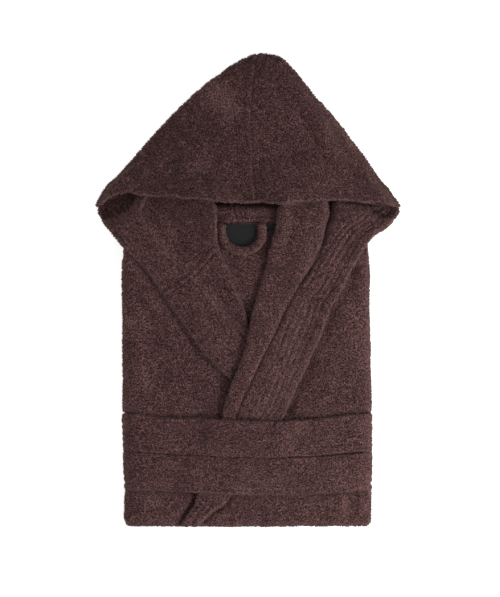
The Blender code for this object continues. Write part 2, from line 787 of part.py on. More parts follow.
def hood_lower(side, cover_low):
    """Where the hood's lower layer will lie, for what is laid on it."""
    edge = HOOD_LEFT_EDGE if side == "left" else HOOD_RIGHT_EDGE
    places = net(LOWER_SEAM, edge, even(12), 8, first_gap=0, last_gap=HOOD_TIP_RADIUS)
    return flat_piece(places, cover_low, TERRY)


def neck_half(side, cover):
    """The strip of hood between the lapels: level from the neck seam on, then falling into the hood."""
    edge_x = NECK_LEFT_X if side == "left" else NECK_RIGHT_X
    edge = [At(edge_x, p.y) for p in NECK_CENTRE_SEAM]
    places = net(edge, NECK_CENTRE_SEAM, NECK_SHARES, 5, first_gap=0, last_gap=SEAM / 2)
    strip = flat_piece(places, cover, TERRY)
    collar = COLLAR_HEIGHT - COLLAR_FALL * (places[..., 1] - COLLAR_END_Y).clip(0)
    strip[..., 2] = np.maximum(strip[..., 2], collar)
    return strip


def turned_net(tip_lines, hood_lines, columns, **gaps):
    """Points across a turned-out piece: the rows at the hood's tip, then those from there on."""
    tip = net(*tip_lines, TIP_SHARES, columns, **gaps)
    return np.concatenate([tip, net(*hood_lines, HOOD_BAND_SHARES, columns, **gaps)])


def turned_band(places, ridge, cover, low_cover):
    """The hem where the hood turns out: high as far as a ridge, and dropping into the hood behind it."""
    line = along(ridge, even(60))
    to_ridge = np.linalg.norm(places[:, :, None] - line, axis=-1).min(axis=-1)
    beyond = places[..., 1] > read(ridge, "y", "x", places[..., 0])
    drop = np.minimum(to_ridge * beyond / TIP_DROP, 1)
    drop = drop * drop * (3 - 2 * drop)
    high = flat_piece(places, cover, TWO_PLY)[..., 2]
    high = high + TIP_RIDGE * np.exp(-((to_ridge / TIP_RIDGE_REACH) ** 2))
    low = low_cover.rest(places, TWO_PLY)
    from_rim = np.linalg.norm(places - places[:, :1], axis=-1)
    curl = TIP_CURL * np.exp(-((from_rim / TIP_CURL_REACH) ** 2)) * drop[:, :1]
    curl *= np.clip((TIP_CURL_Y - places[:, :1, 1]) / TIP_CURL_EASE, 0, 1)
    z = high + (low - high) * drop + curl
    return raised(np.concatenate([places, z[..., None]], axis=-1), low_cover, TWO_PLY) + [0, 0, GAP]


def ribbon(table, width, rows):
    """A strip of even width along a table of places."""
    middle = along(table, even(rows))
    ahead = np.gradient(middle, axis=0)
    ahead /= np.linalg.norm(ahead, axis=-1, keepdims=True)
    aside = np.stack([-ahead[:, 1], ahead[:, 0]], axis=-1) * width / 2
    return middle[:, None] + aside[:, None] * np.linspace(-1, 1, 4)[None, :, None]


def belt_turn(top_edge, low_edge, cover):
    """One turn of the belt round the stack, between two edges."""

    def edges(x):
        top = read(top_edge, "y", "x", x) - GAP
        low = read(low_edge, "y", "x", x) + GAP
        return top + (low - top) * even(5)[None, :]

    side_inset = BELT_BEND + TWO_PLY / 2
    left = read(SIDES, "left", "y", edges(BELT_TOP[0].x)) + side_inset
    right = read(SIDES, "right", "y", edges(BELT_TOP[-1].x)) - side_inset
    x = left + (right - left) * even(25)[:, None]
    top = flat_piece(np.stack([x, edges(x)], axis=-1), cover, TWO_PLY) + [0, 0, GAP]

    def bend_down(end, sign):
        turn = np.radians([22.5, 45, 67.5, 90])[:, None]
        low_turn = np.radians([0, 45, 90])[:, None]
        side_x = end[:, 0] + sign * BELT_BEND
        over_x = end[:, 0] + sign * BELT_BEND * np.sin(turn)
        over_z = end[:, 2] - BELT_BEND * (1 - np.cos(turn))
        under_x = side_x - sign * BELT_BOTTOM_BEND * (1 - np.cos(low_turn))
        under_z = TWO_PLY / 2 + BELT_BOTTOM_BEND * (1 - np.sin(low_turn)) * np.ones((1, 5))
        half_z = (over_z[-1:] + under_z[:1]) / 2
        side_points = np.concatenate([over_x, side_x[None], under_x])
        heights = np.concatenate([over_z, half_z, under_z])
        return np.stack([side_points, np.broadcast_to(end[:, 1], heights.shape), heights], axis=-1)

    right_side = bend_down(top[-1], 1)
    left_side = bend_down(top[0], -1)
    share = even(9)[1:-1, None, None]
    bottom = right_side[-1:] + (left_side[-1:] - right_side[-1:]) * share
    return np.concatenate([top, right_side, bottom, left_side[::-1], top[:1]])


def build():
    for old in list(bpy.data.objects):
        bpy.data.objects.remove(old)
    robe = bpy.data.collections.new("hooded_bathrobe")
    cutters = bpy.data.collections.new("cutters")
    for made in (robe, cutters):
        bpy.context.scene.collection.children.link(made)

    pile = Pile()

    def cloth(name, surface, thickness=TERRY, lay=True, **looks):
        add_cloth(name, surface, thickness, robe, **looks)
        if lay:
            pile.lay(surface, thickness / 2)

    pile.lay(folded_body(robe, cutters), 0)
    on_stack = Cover(pile, HOOD_FALL)
    cloth("back_inside", flat_piece(net(BACK_LEFT, BACK_RIGHT, even(9), 7), on_stack, TERRY))
    for side in ("left", "right"):
        cloth(f"hood_neck_{side}", neck_half(side, on_stack))

    on_back = Cover(pile, HOOD_FALL)
    label = flat_piece(net(LABEL_LEFT, LABEL_RIGHT, even(5), 6), on_back, TAG)
    tag = flat_piece(net(TAG_LEFT, TAG_RIGHT, even(2), 3), on_back, TAG)
    cloth("neck_label", label, TAG, paint=LABEL_PAINT)
    cloth("size_tag", tag, TAG, paint=LABEL_PAINT)
    loop = flat_piece(ribbon(HANGING_LOOP, LOOP_WIDTH, 17), Cover(pile, HOOD_FALL), LOOP_THICKNESS)
    cloth("hanging_loop", loop, LOOP_THICKNESS, rounded=True)

    under_left = Cover(pile, HOOD_FALL)
    cloth("front_left", front_panel(FRONT_INNER_LEFT, "left", on_back, True))
    on_left = Cover(pile, HOOD_FALL)
    lapel_end = (LAPEL_LEFT_ROWS - 1) / (BAND_LEFT_ROWS - 1)
    low = Cover(pile, TIP_FALL)
    tip, turned = (TIP_HEM_LEFT, TIP_ROLL_LEFT), (HOOD_HEM_LEFT, HOOD_ROLL_LEFT)
    hood_lapel = turned_net(tip, turned, 6, first_gap=4 * GAP)
    tip, turned = (TIP_RIM_LEFT, TIP_HEM_LEFT), (HOOD_RIM_LEFT, HOOD_HEM_LEFT)
    hood_band = turned_net(tip, turned, HOOD_BAND_COLUMNS, first_gap=0, last_gap=GAP)
    hood_band = turned_band(hood_band, RIDGE_LEFT, on_left, low)
    lapel = net(BAND_SEAM_LEFT, ROLL_LEFT, even(LAPEL_LEFT_ROWS), 6, first_end=lapel_end)
    band = net(RIM_LEFT, BAND_SEAM_LEFT, even(BAND_LEFT_ROWS), 5, first_gap=0, last_gap=GAP)
    cloth("hood_lapel_left", rolled_piece(hood_lapel, on_left, under_left, TERRY))
    cloth("lapel_left", rolled_piece(lapel, on_left, under_left, TERRY))
    cloth("hood_band_left", hood_band, TWO_PLY, rounded=True)
    cloth("front_band_left", flat_piece(band, on_left, TWO_PLY), TWO_PLY, rounded=True)

    under_right = Cover(pile, HOOD_FALL)
    inner_line = FRONT_INNER_RIGHT + tuple(At(p.x + 2 * GAP, p.y) for p in LOW_SEAM)
    cloth("front_right", front_panel(inner_line, "right", under_right, False))
    cloth("front_band_low", low_band(under_right), TWO_PLY, rounded=True)
    on_right = Cover(pile, HOOD_FALL)
    low = Cover(pile, TIP_FALL)
    tip, turned = (TIP_HEM_RIGHT, TIP_ROLL_RIGHT), (HOOD_HEM_RIGHT, HOOD_ROLL_RIGHT)
    hood_lapel = turned_net(tip, turned, LAPEL_COLUMNS, first_gap=6 * GAP)
    swell = SWELL * (1 - even(len(hood_lapel)) ** 2)
    tip, turned = (TIP_RIM_RIGHT, TIP_HEM_RIGHT), (HOOD_RIM_RIGHT, HOOD_HEM_RIGHT)
    hood_band = turned_net(tip, turned, HOOD_BAND_COLUMNS, first_gap=0, last_gap=GAP)
    hood_band = turned_band(hood_band, RIDGE_RIGHT, on_right, low)
    lapel = net(BAND_SEAM_RIGHT, ROLL_RIGHT, even(15), 5)
    band = net(RIM_RIGHT, BAND_SEAM_RIGHT, even(15), 5, first_gap=0, last_gap=GAP)
    cloth("hood_lapel_right", rolled_piece(hood_lapel, on_right, under_right, TERRY, swell))
    cloth("lapel_right", rolled_piece(lapel, on_right, under_right, TERRY))
    cloth("hood_band_right", hood_band, TWO_PLY, rounded=True)
    cloth("front_band_right", flat_piece(band, on_right, TWO_PLY), TWO_PLY, rounded=True)

    on_all = Cover(pile, HOOD_FALL)
    belts = {
        "belt_upper": belt_turn(BELT_TOP, BELT_MIDDLE, on_all),
        "belt_lower": belt_turn(BELT_MIDDLE, BELT_LOWER, on_all),
    }
    for name, surface in belts.items():
        cloth(name, surface, TWO_PLY, lay=False, ring=True, rounded=True)
    for side in ("left", "right"):
        pile.lay(hood_lower(side, on_stack), TERRY / 2)
    on_lower = Cover(pile, HOOD_FALL)
    for side in ("left", "right"):
        cloth(f"hood_{side}", hood_half(side, on_stack, on_lower), lay=False)


build()
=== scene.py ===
"""Dresses the folded hooded bathrobe in terry: pile, seams, rows of stitching and creases.

Every piece of cloth is laid out from the same named sizes and tables as the solid that it stands for,
then refined to a smooth, rounded wall. Rows of stitching, seams and creases are worked into its outer
side in real sizes, and a pile of small loops stands on all of it that shows.

Tables and working arrays are in millimetres, and the meshes are made in metres.
"""

import math
from collections import namedtuple

import bpy
import numpy as np
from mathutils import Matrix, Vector, noise
from mathutils.bvhtree import BVHTree


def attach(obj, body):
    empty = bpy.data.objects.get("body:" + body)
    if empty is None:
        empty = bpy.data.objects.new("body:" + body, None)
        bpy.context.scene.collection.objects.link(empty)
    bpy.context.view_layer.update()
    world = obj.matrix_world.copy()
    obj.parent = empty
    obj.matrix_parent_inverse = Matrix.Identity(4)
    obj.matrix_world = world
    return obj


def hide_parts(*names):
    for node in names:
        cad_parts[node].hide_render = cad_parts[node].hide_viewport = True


MM = 0.001

# The part's own sizes
TERRY, TWO_PLY, TAG = 3.0, 5.5, 0.9
GAP, SEAM = 0.3, 0.6
STACK_HEIGHT = 34.0
SIDE_BEND, LAPPED_BEND = 10.3, 4.9
LAP_START, LAP_END = -118.0, -100.0
CORNER_POWER = 3.4
ROLL_PUFF, ROLL_REACH, LIP, SMALLEST_ROLL = 1.6, 12.0, 3.0, 2.1
SWELL, CREASE = 7.5, 6.0
TIP_FALL, TIP_DROP = 1.3, 10.0
TIP_RIDGE, TIP_RIDGE_REACH = 3.0, 16.0
TIP_CURL, TIP_CURL_REACH, TIP_CURL_Y, TIP_CURL_EASE = 4.5, 6.0, 116.0, 8.0
COLLAR_HEIGHT, COLLAR_END_Y, COLLAR_FALL = 36.2, 108.5, 1.55
HOOD_FOLD_RADIUS, HOOD_TIP_RADIUS = 2.9, 4.6
HOOD_LEAN, HOOD_FOLD_END_Y, HOOD_FALL = 25, 143.5, 0.42
HOOD_CROWN, HOOD_PUFF, PEAK_HEIGHT = 41.0, 1.5, 7.6
CREST_POWER, ARCH_POWER, MOUTH_POWER, TIP_POWER = 1.25, 2.3, 3, 4
BELT_PINCH = TWO_PLY + 2 * GAP
BELT_BEND = SIDE_BEND + TERRY / 2 + 2 * GAP + TWO_PLY / 2
BELT_BOTTOM_BEND, BELT_MARGIN, BELT_EASE = 3.6, -0.8, 1.0
MAP_X, MAP_Y, CELL, LAY_STEP, SPREAD, SOFTEN = 220, 336, 2.0, 0.7, 5, 1
# Numbers of points, and bends in degrees
PATCH, RIDGE_POINTS, OUTLINE_POINTS, TOP_RINGS = 6, 60, 201, 40
ROLL_TURNS, SIDE_TURNS = (45, 90, 135, 180), (90, 60, 30, 0)
HOOD_TURNS, HOOD_LIFT, HOOD_LOWER_NET = 5, GAP / 3, (12, 8)
BELT_TURNS, BELT_LOW_TURNS, BELT_LENGTHS = (22.5, 45, 67.5, 90), (0, 45, 90), (25, 9)
BAND_COLUMNS, NECK_COLUMNS, RIBBON_COLUMNS = 5, 5, 4
FRONT_COLUMNS = 12

# The courses of edges and seams, from above
NECK_LEFT_X, NECK_RIGHT_X = -53.0, 49.0
LOOP_WIDTH, LOOP_THICKNESS = 11.5, 4.0
At = namedtuple("At", "x y")
Span = namedtuple("Span", "y left right")
Layer = namedtuple("Layer", "z inset")


def table_of(kind):
    """What makes a table of named rows."""
    return lambda *rows: tuple(kind(*row) for row in rows)


places, spans, layers = map(table_of, (At, Span, Layer))
SIDES = spans(
    (64, -170.8, 162.6), (56, -171.4, 163), (44, -171.4, 163), (20, -171, 163), (-14, -171.0, 163),
    (-68, -170.5, 164), (-135, -170.0, 165), (-155, -170.4, 165.6), (-195, -169.2, 165.5),
    (-235, -168.0, 165.4), (-275, -166.8, 165.3), (-300, -167.6, 165), (-319, -167.5, 164.5))
LOWER_EDGE = places((-168, -318.5), (-66, -320), (69, -319), (165, -318))
LOWER_CORNER = places((0.8, -312), (2.6, -316.5), (7.7, -318.4))
SHOULDERS = places(
    (-168, 48), (-163, 57), (-150, 64), (-127, 70), (-98, 79), (-66, 86), (-46, 92), (-20, 94), (12, 94),
    (38, 92), (60, 86), (92, 79), (119, 70), (142, 64), (155, 57), (160, 48))
STACK_LAYERS = layers(
    (0.0, 2.0), (3.2, 0.2), (6.3, 3.0), (9.5, 0.7), (12.6, 3.2), (15.8, 0.2), (18.9, 3.0), (22.0, 1.0),
    (24.6, 5.0), (28.0, 9.6), (31.0, 10.6), (33.0, 12.6), (STACK_HEIGHT, 15.5))
BELT_TOP = places((-171, -165), (-133, -171), (-66, -174), (2, -177), (49, -177), (96, -174), (165, -165))
BELT_MIDDLE = places(
    (-171, -217), (-133, -220), (-66, -224), (2, -226), (69, -225), (130, -221), (165, -217))
BELT_LOWER = places((-171, -269), (-100, -271), (-25, -275), (29, -276), (110, -273), (165, -269))
BACK_LEFT = places((-57, 91), (-59, 60), (-52, 20), (-44, -30), (-31, -84))
BACK_RIGHT = places((50, 91), (50, 60), (46, 20), (42, -30), (37, -84))
FRONT_INNER_LEFT = places(
    (-60, 84), (-53, 59), (-39, 32), (-29.5, 8), (-21, -14), (-13.5, -35), (-8.5, -52), (-7, -68), (6, -80),
    (20, -92), (26, -110), (28, -150), (34, -205), (70, -240), (104, -266), (116, -290), (118, -320))
FRONT_INNER_RIGHT = places(
    (56, 84), (44, 59), (35, 34), (25, 0), (13.5, -43), (9, -72), (-1, -100), (-12, -130), (-19, -155),
    (-24, -174), (-22, -205))
TIP_RIM_LEFT = places(
    (-181, 138), (-187, 129.5), (-195, 121.5), (-203, 115.5), (-204.5, 109), (-200, 97), (-188, 81))
TIP_HEM_LEFT = places((-138, 138), (-140, 122), (-146, 106))
TIP_ROLL_LEFT = places((-45, 138), (-45, 117), (-44.5, 101))
RIDGE_LEFT = places((-200, 78), (-188, 83), (-172, 91), (-158, 101), (-149, 110), (-144, 120), (-141, 138))
HOOD_RIM_LEFT = places((-188, 81), (-183, 75), (-169, 58), (-144, 35), (-127, 14), (-113, -8))
HOOD_HEM_LEFT = places(
    (-146, 106), (-143.5, 97), (-136.5, 86), (-124, 68), (-105, 45), (-87.5, 28), (-75, 17.5))
HOOD_ROLL_LEFT = places((-44.5, 101), (-44, 92), (-44, 73), (-43, 62), (-42, 54))
RIM_LEFT = places((-112, -9.5), (-98, -30), (-83, -51), (-69, -72), (-48, -97), (-25, -119), (-8, -136))
BAND_SEAM_LEFT = places((-74, 16), (-60, -1), (-43.5, -20), (-27.5, -41), (-10, -62), (7, -86), (22, -104))
ROLL_LEFT = places((-41.5, 52.5), (-33, 38), (-23, 12), (-12, -14), (-4, -35), (4.5, -60))
TIP_RIM_RIGHT = places((170, 138), (182, 127), (194, 117.5), (204.5, 111.5), (199, 99), (190, 88.5))
TIP_HEM_RIGHT = places((110, 138), (111, 126), (112, 114))
TIP_ROLL_RIGHT = places((44, 138), (41, 116), (40, 106))
RIDGE_RIGHT = places((116, 138), (119, 125), (128, 117), (146, 112), (158, 104), (170, 94), (196, 85))
HOOD_RIM_RIGHT = places(
    (190, 88.5), (182, 81.5), (171, 76), (164, 69), (151, 48), (139, 31), (130, 9), (111.5, -20))
HOOD_HEM_RIGHT = places(
    (112, 114), (111, 99), (106, 85), (102, 65), (96, 48), (87, 31), (78, 17), (69.5, 5.5))
HOOD_ROLL_RIGHT = places((40, 106), (39, 99), (38, 88), (35, 74), (32, 62), (29, 50.5))
RIM_RIGHT = places(
    (111, -21.5), (102, -46), (95, -65), (85, -85), (76, -105), (66, -124), (57, -146), (49, -165),
    (42, -178), (31, -202))
BAND_SEAM_RIGHT = places(
    (69, 4), (56, -20), (46.5, -39), (37.5, -58), (27.5, -78), (17.5, -99), (6.5, -123), (-7, -150),
    (-16, -174), (-25, -202))
ROLL_RIGHT = places(
    (28.5, 49), (25, 32), (19, 14), (12, -9), (5, -35), (0, -68), (-12, -100), (-23, -127), (-31, -153),
    (-37, -174), (-41, -200))
LOW_RIM = places((-62, -243), (-68, -270), (-73, -290), (-82, -304), (-90, -317))
LOW_SEAM = places((-14, -243), (-20.5, -271), (-32.5, -288), (-51.5, -301), (-67, -317))
HOOD_LEFT_EDGE = places(
    (8.5, 319.8), (-1, 316), (-12, 311), (-33, 297), (-55, 282), (-79, 261), (-120, 219), (-171, 162),
    (-189, 143), (-201, 132), (-204.5, 122))
HOOD_RIGHT_EDGE = places(
    (15.5, 319.8), (31, 318.5), (43, 315), (52, 308), (70, 287), (88, 266), (128, 219), (152, 187),
    (169, 162), (181, 145), (195, 130), (203, 121))
CROWN_SEAM = places((12, 316.5), (7, 290), (4, 256), (3, 230), (4, 202), (8, 148), (12, 117))
LOWER_SEAM = places((12, 316.5), (-2, 240), (-17, 139.6))
NECK_CENTRE_SEAM = places((-17, 139), (-21, 115), (-15, 91.7))
MOUTH = places(
    (-204, 124), (-194, 126), (-171, 131), (-133, 128), (-79, 124), (-46, 121), (2, 118), (39, 117),
    (76, 121), (116, 121), (164, 119), (203, 117))
HANGING_LOOP = places((-37, 88), (-36, 72), (-29, 60), (-9, 53), (8, 57), (17, 68), (18, 88))
LABEL_LEFT = places((-34, 88.5), (-34, 74), (-32, 59))
LABEL_RIGHT = places((9, 88.5), (9, 74), (7, 59))
TAG_LEFT = places((23, 88.5), (23, 80))
TAG_RIGHT = places((37, 88.5), (37, 80))
FOLD_Y = SIDES[-1].y + TERRY / 2 + SIDE_BEND
STACK_SIDE_Y = (
    28, -5, -45, -85, -120, -145, -160, -163, -164.4, -165.6, -175, -190, -217, -245, -264, -267, -268.4,
    -269.6, -271, -281, -290, -300)
STACK_LOWER_X = (-150, -125, -100, -75, -50, -25, 0, 25, 50, 75, 100, 125, 148)
FRONT_ROWS_Y = (
    24, 4, -15, -34, -53, -69, -85, -101, -117, -133, -144, -154.5, -160, -163, -164.4, -165.6, -177, -190,
    -204, -217, -230, -244, -257, -267, -268.4, -269.6, -271, -281, -289, -297)
LOW_SHARES = (0, 0.15, 0.3, 0.45, 0.6, 0.73, 0.858, 0.912, 0.958, 0.989, 1)
TIP_SHARES = (0, 0.3, 0.52, 0.68, 0.8, 0.9)
HOOD_BAND_SHARES = (0, 0.06, 0.13, 0.22, 0.34, 0.48, 0.64, 0.82, 1)
HOOD_BAND_COLUMNS = (0, 0.08, 0.18, 0.32, 0.48, 0.64, 0.78, 0.88, 0.95, 1)
NECK_SHARES = (0, 0.25, 0.42, 0.49, 0.56, 0.64, 0.8, 1)
HOOD_SHARES = (0, 0.04, 0.1, 0.18, 0.27, 0.36, 0.45, 0.54, 0.63, 0.72, 0.81, 0.88, 0.94, 1)
HOOD_OUT, HOOD_BACK = (0, 0.12, 0.25, 0.38, 0.51, 0.64, 0.76, 0.86, 0.94), (0.12, 0.3, 0.5, 0.7, 0.87, 1.0)
HOOD_EDGES = {"left": HOOD_LEFT_EDGE, "right": HOOD_RIGHT_EDGE}
LAPEL_COLUMNS = (0, 0.05, 0.13, 0.32, 0.54, 0.77, 1)


def norm(vectors):
    return np.linalg.norm(vectors, axis=-1)


def unit(vectors):
    return vectors / np.maximum(norm(vectors), 1e-9)[..., None]


def turned_left(ways):
    return np.stack([-ways[..., 1], ways[..., 0]], axis=-1)


def smooth_step(share):
    return share * share * (3 - 2 * share)


def fading(way, reach):
    """1 where a way is nothing, falling softly to 0 beyond its reach."""
    return np.exp(-((way / reach) ** 2))


def corners(grid):
    """The four corners of each cell of a grid, one after another round it."""
    return grid[:-1, :-1], grid[:-1, 1:], grid[1:, 1:], grid[1:, :-1]


def cell_areas(surface):
    a, b, c, d = corners(surface)
    return norm(np.cross(c - a, d - b)) / 2


def through(knots, gaps, values, at, ring=False):
    """Smooth curves through values that lie at knots, read at other places."""
    wide = gaps.reshape((-1,) + (1,) * (values.ndim - 1))
    rise = np.diff(values, axis=0) / wide
    inner = (rise[:-1] * wide[1:] + rise[1:] * wide[:-1]) / (wide[:-1] + wide[1:])
    first, last = rise[:1], rise[-1:]
    if ring:
        first = last = (rise[-1:] * wide[0] + rise[:1] * wide[-1]) / (wide[0] + wide[-1])
    slope = np.concatenate([first, inner, last])
    i = np.clip(np.searchsorted(knots, at, side="right") - 1, 0, len(gaps) - 1)
    t = (at - knots[i]) / gaps[i]
    t = t.reshape(t.shape + (1,) * (values.ndim - 1))
    lead = wide[i] * (slope[i] * t * (1 - t) ** 2 - slope[i + 1] * t**2 * (1 - t))
    return values[i] + (values[i + 1] - values[i]) * t * t * (3 - 2 * t) + lead


def curve(knots, values, at):
    """The smooth curve through a table's values, read at other places."""
    knots = np.asarray(knots, float)
    at = np.clip(at, knots[0], knots[-1])
    return through(knots, np.diff(knots), np.asarray(values, float), at)


def read(table, column, by, at):
    """One named column of a table, read by another that rises or falls all the way."""
    rows = sorted(table, key=lambda row: getattr(row, by))
    return curve([getattr(r, by) for r in rows], [getattr(r, column) for r in rows], at)


def along(table, at):
    """Points at these shares of the way along a table of places."""
    points = np.array(table, float)
    way = np.concatenate([[0], np.cumsum(np.hypot(*np.diff(points, axis=0).T))])
    return np.stack([curve(way, points[:, k], np.asarray(at) * way[-1]) for k in range(2)], axis=-1)


def even(count):
    return np.linspace(0, 1, count)


def net(first_line, last_line, shares, columns, first_gap=GAP, last_gap=0.0, first_end=1.0):
    """Points across a piece, from one line to another, clear of each line by its gap."""
    shares = np.asarray(shares)
    first, last = along(first_line, shares * first_end), along(last_line, shares)
    across = unit(last - first)
    first, last = first + across * first_gap, last - across * last_gap
    columns = even(columns) if isinstance(columns, int) else np.array(columns)
    return first[:, None] + (last - first)[:, None] * columns[None, :, None]


def windowed(values, reach, merge):
    """The highest or the mean value within a few cells of each cell."""
    for axis in (0, 1):
        padded = np.pad(values, [(reach, reach) if a == axis else (0, 0) for a in (0, 1)], mode="edge")
        size = values.shape[axis]
        values = merge([np.take(padded, range(k, k + size), axis) for k in range(2 * reach + 1)], axis=0)
    return values


class Cover:
    """The surface that the next piece lies on: what is there already, bridged and rounded."""

    def __init__(self, pile, fall):
        z = pile.z.copy()
        neighbours = [(i, j) for i in (-1, 0, 1) for j in (-1, 0, 1) if i or j]
        for _ in range(math.ceil(z.max() / (fall * CELL))):
            padded = np.pad(z, 1, mode="edge")
            before = z
            for i, j in neighbours:
                side = padded[1 + i : 1 + i + z.shape[0], 1 + j : 1 + j + z.shape[1]]
                z = np.maximum(z, side - fall * CELL * math.hypot(i, j))
            if np.array_equal(z, before):
                break
        self.pile = pile
        z = windowed(z, SPREAD, np.max)
        self.z = windowed(windowed(z, SOFTEN, np.mean), SOFTEN, np.mean)
        down, across = np.gradient(self.z, CELL)
        self.stretch = np.sqrt(1 + down**2 + across**2)

    def rest(self, places, thickness):
        """Heights of the middle of cloth that lies on this cover at these places."""
        z, stretch = (self.pile.sample(grid, places) for grid in (self.z, self.stretch))
        return z + np.minimum(z, GAP) + thickness / 2 * stretch


class Pile:
    """Heights of all that lies there so far, on a square grid."""

    def __init__(self):
        self.x = np.arange(-MAP_X, MAP_X + 1, CELL)
        self.y = np.arange(-MAP_Y, MAP_Y + 1, CELL)
        self.z = np.zeros((len(self.y), len(self.x)))

    def sample(self, grid, places):
        """A grid's values between its cells."""
        u = np.clip((places[..., 0] - self.x[0]) / CELL, 0, len(self.x) - 1.001)
        v = np.clip((places[..., 1] - self.y[0]) / CELL, 0, len(self.y) - 1.001)
        i, j = v.astype(int), u.astype(int)
        a, b = v - i, u - j
        low = grid[i, j] * (1 - b) + grid[i, j + 1] * b
        high = grid[i + 1, j] * (1 - b) + grid[i + 1, j + 1] * b
        return low * (1 - a) + high * a

    def lay(self, surface, lift):
        """Raises the grid to a net of points moved up by lift."""
        fine = surface
        for axis in (0, 1):
            longest = np.abs(np.diff(fine[..., :2], axis=axis)).max()
            parts = max(1, math.ceil(longest / (LAY_STEP * CELL)))
            size = fine.shape[axis]
            at = np.arange((size - 1) * parts + 1) / parts
            i = np.minimum(at.astype(int), size - 2)
            t = (at - i).reshape([-1 if a == axis else 1 for a in range(3)])
            fine = np.take(fine, i, axis) * (1 - t) + np.take(fine, i + 1, axis) * t
        j = np.rint((fine[..., 0] - self.x[0]) / CELL).astype(int)
        i = np.rint((fine[..., 1] - self.y[0]) / CELL).astype(int)
        np.maximum.at(self.z, (i, j), fine[..., 2] + lift)


def belt_pinch(y):
    """1 where the belt goes round, 0 away from it."""
    above = np.clip((y - BELT_TOP[0].y - BELT_MARGIN) / BELT_EASE, 0, 1)
    below = np.clip((BELT_LOWER[0].y - BELT_MARGIN - y) / BELT_EASE, 0, 1)
    return smooth_step(1 - np.maximum(above, below))


def raised(surface, cover, thickness):
    """A net lifted until no part of it, between its points too, dips into the cover."""
    a, b, d, c = corners(surface)
    u = even(PATCH)[:, None, None, None, None]
    v = even(PATCH)[None, :, None, None, None]
    one = np.where(v >= u, a + v * (b - a) + u * (d - b), a + u * (c - a) + v * (d - c))
    other = np.where(u + v <= 1, a + v * (b - a) + u * (c - a), d + (1 - v) * (c - d) + (1 - u) * (b - d))
    lack = [cover.rest(half[..., :2], thickness) - half[..., 2] for half in (one, other)]
    need = np.pad(np.max(lack, axis=(0, 1, 2)).clip(0), 1)
    return surface + np.max(corners(need), axis=0)[..., None] * [0, 0, 1]


def flat_piece(places, cover, thickness):
    """A net of places laid on a cover."""
    laid = np.concatenate([places, cover.rest(places, thickness)[..., None]], axis=-1)
    return raised(laid, cover, thickness)


def rolled_piece(places, upper, lower, thickness, swell=0.0):
    """A strip laid on one cover whose last edge rolls down and back along another, lower one.

    Beyond its first edge the strip can stand up from its cover by a swell, one for each row.
    """
    first, line = places[:, :1], places[:, -1:]
    from_edge = norm(places - first)
    stand = np.reshape(swell, (-1, 1)) * np.minimum(from_edge / CREASE, 1)
    outward = unit(line - first)
    low = lower.rest(line, thickness)
    high = upper.rest(line, thickness) + ROLL_PUFF + stand[:, -1:]
    radius = np.maximum((high - low) / 2, SMALLEST_ROLL)
    centre = line - outward * (radius + thickness / 2)[..., None]
    strip = first + (centre - first) * (from_edge / from_edge[:, -1:])[..., None]
    z = flat_piece(strip, upper, thickness)[..., 2] + stand
    z = z + (low + 2 * radius - z[:, -1:]) * fading(norm(centre - strip), ROLL_REACH)
    bend = np.radians(ROLL_TURNS)[None, :]
    roll = centre + outward * (radius * np.sin(bend))[..., None]
    roll_z = low + radius + radius * np.cos(bend)
    lip = centre - outward * LIP
    middle = np.concatenate([strip, roll, lip], axis=1)
    heights = np.concatenate([z, roll_z, lower.rest(lip, thickness)], axis=1)
    middle = np.concatenate([middle, heights[..., None]], axis=-1)
    return np.concatenate([middle[:, :-3], raised(middle[:, -3:], lower, thickness)], axis=1)


def stack_outline():
    """The stack's outline at its widest, how far the belt draws each point in, and inward normals."""
    left = [At(read(SIDES, "left", "y", y), y) for y in STACK_SIDE_Y]
    right = [At(read(SIDES, "right", "y", y), y) for y in STACK_SIDE_Y]
    lower = [At(x, read(LOWER_EDGE, "y", "x", x)) for x in STACK_LOWER_X]
    low_left = [At(left[-1].x + p.x, p.y) for p in LOWER_CORNER]
    low_right = [At(right[-1].x - p.x, p.y) for p in reversed(LOWER_CORNER)]
    points = np.array([*left, *low_left, *lower, *low_right, *reversed(right), *reversed(SHOULDERS)], float)
    ahead, behind = np.roll(points, -1, axis=0), np.roll(points, 1, axis=0)
    inward = unit(turned_left(ahead - behind))
    draw = belt_pinch(points[:, 1]) * BELT_PINCH * np.abs(inward[:, 0])
    return points, draw, inward


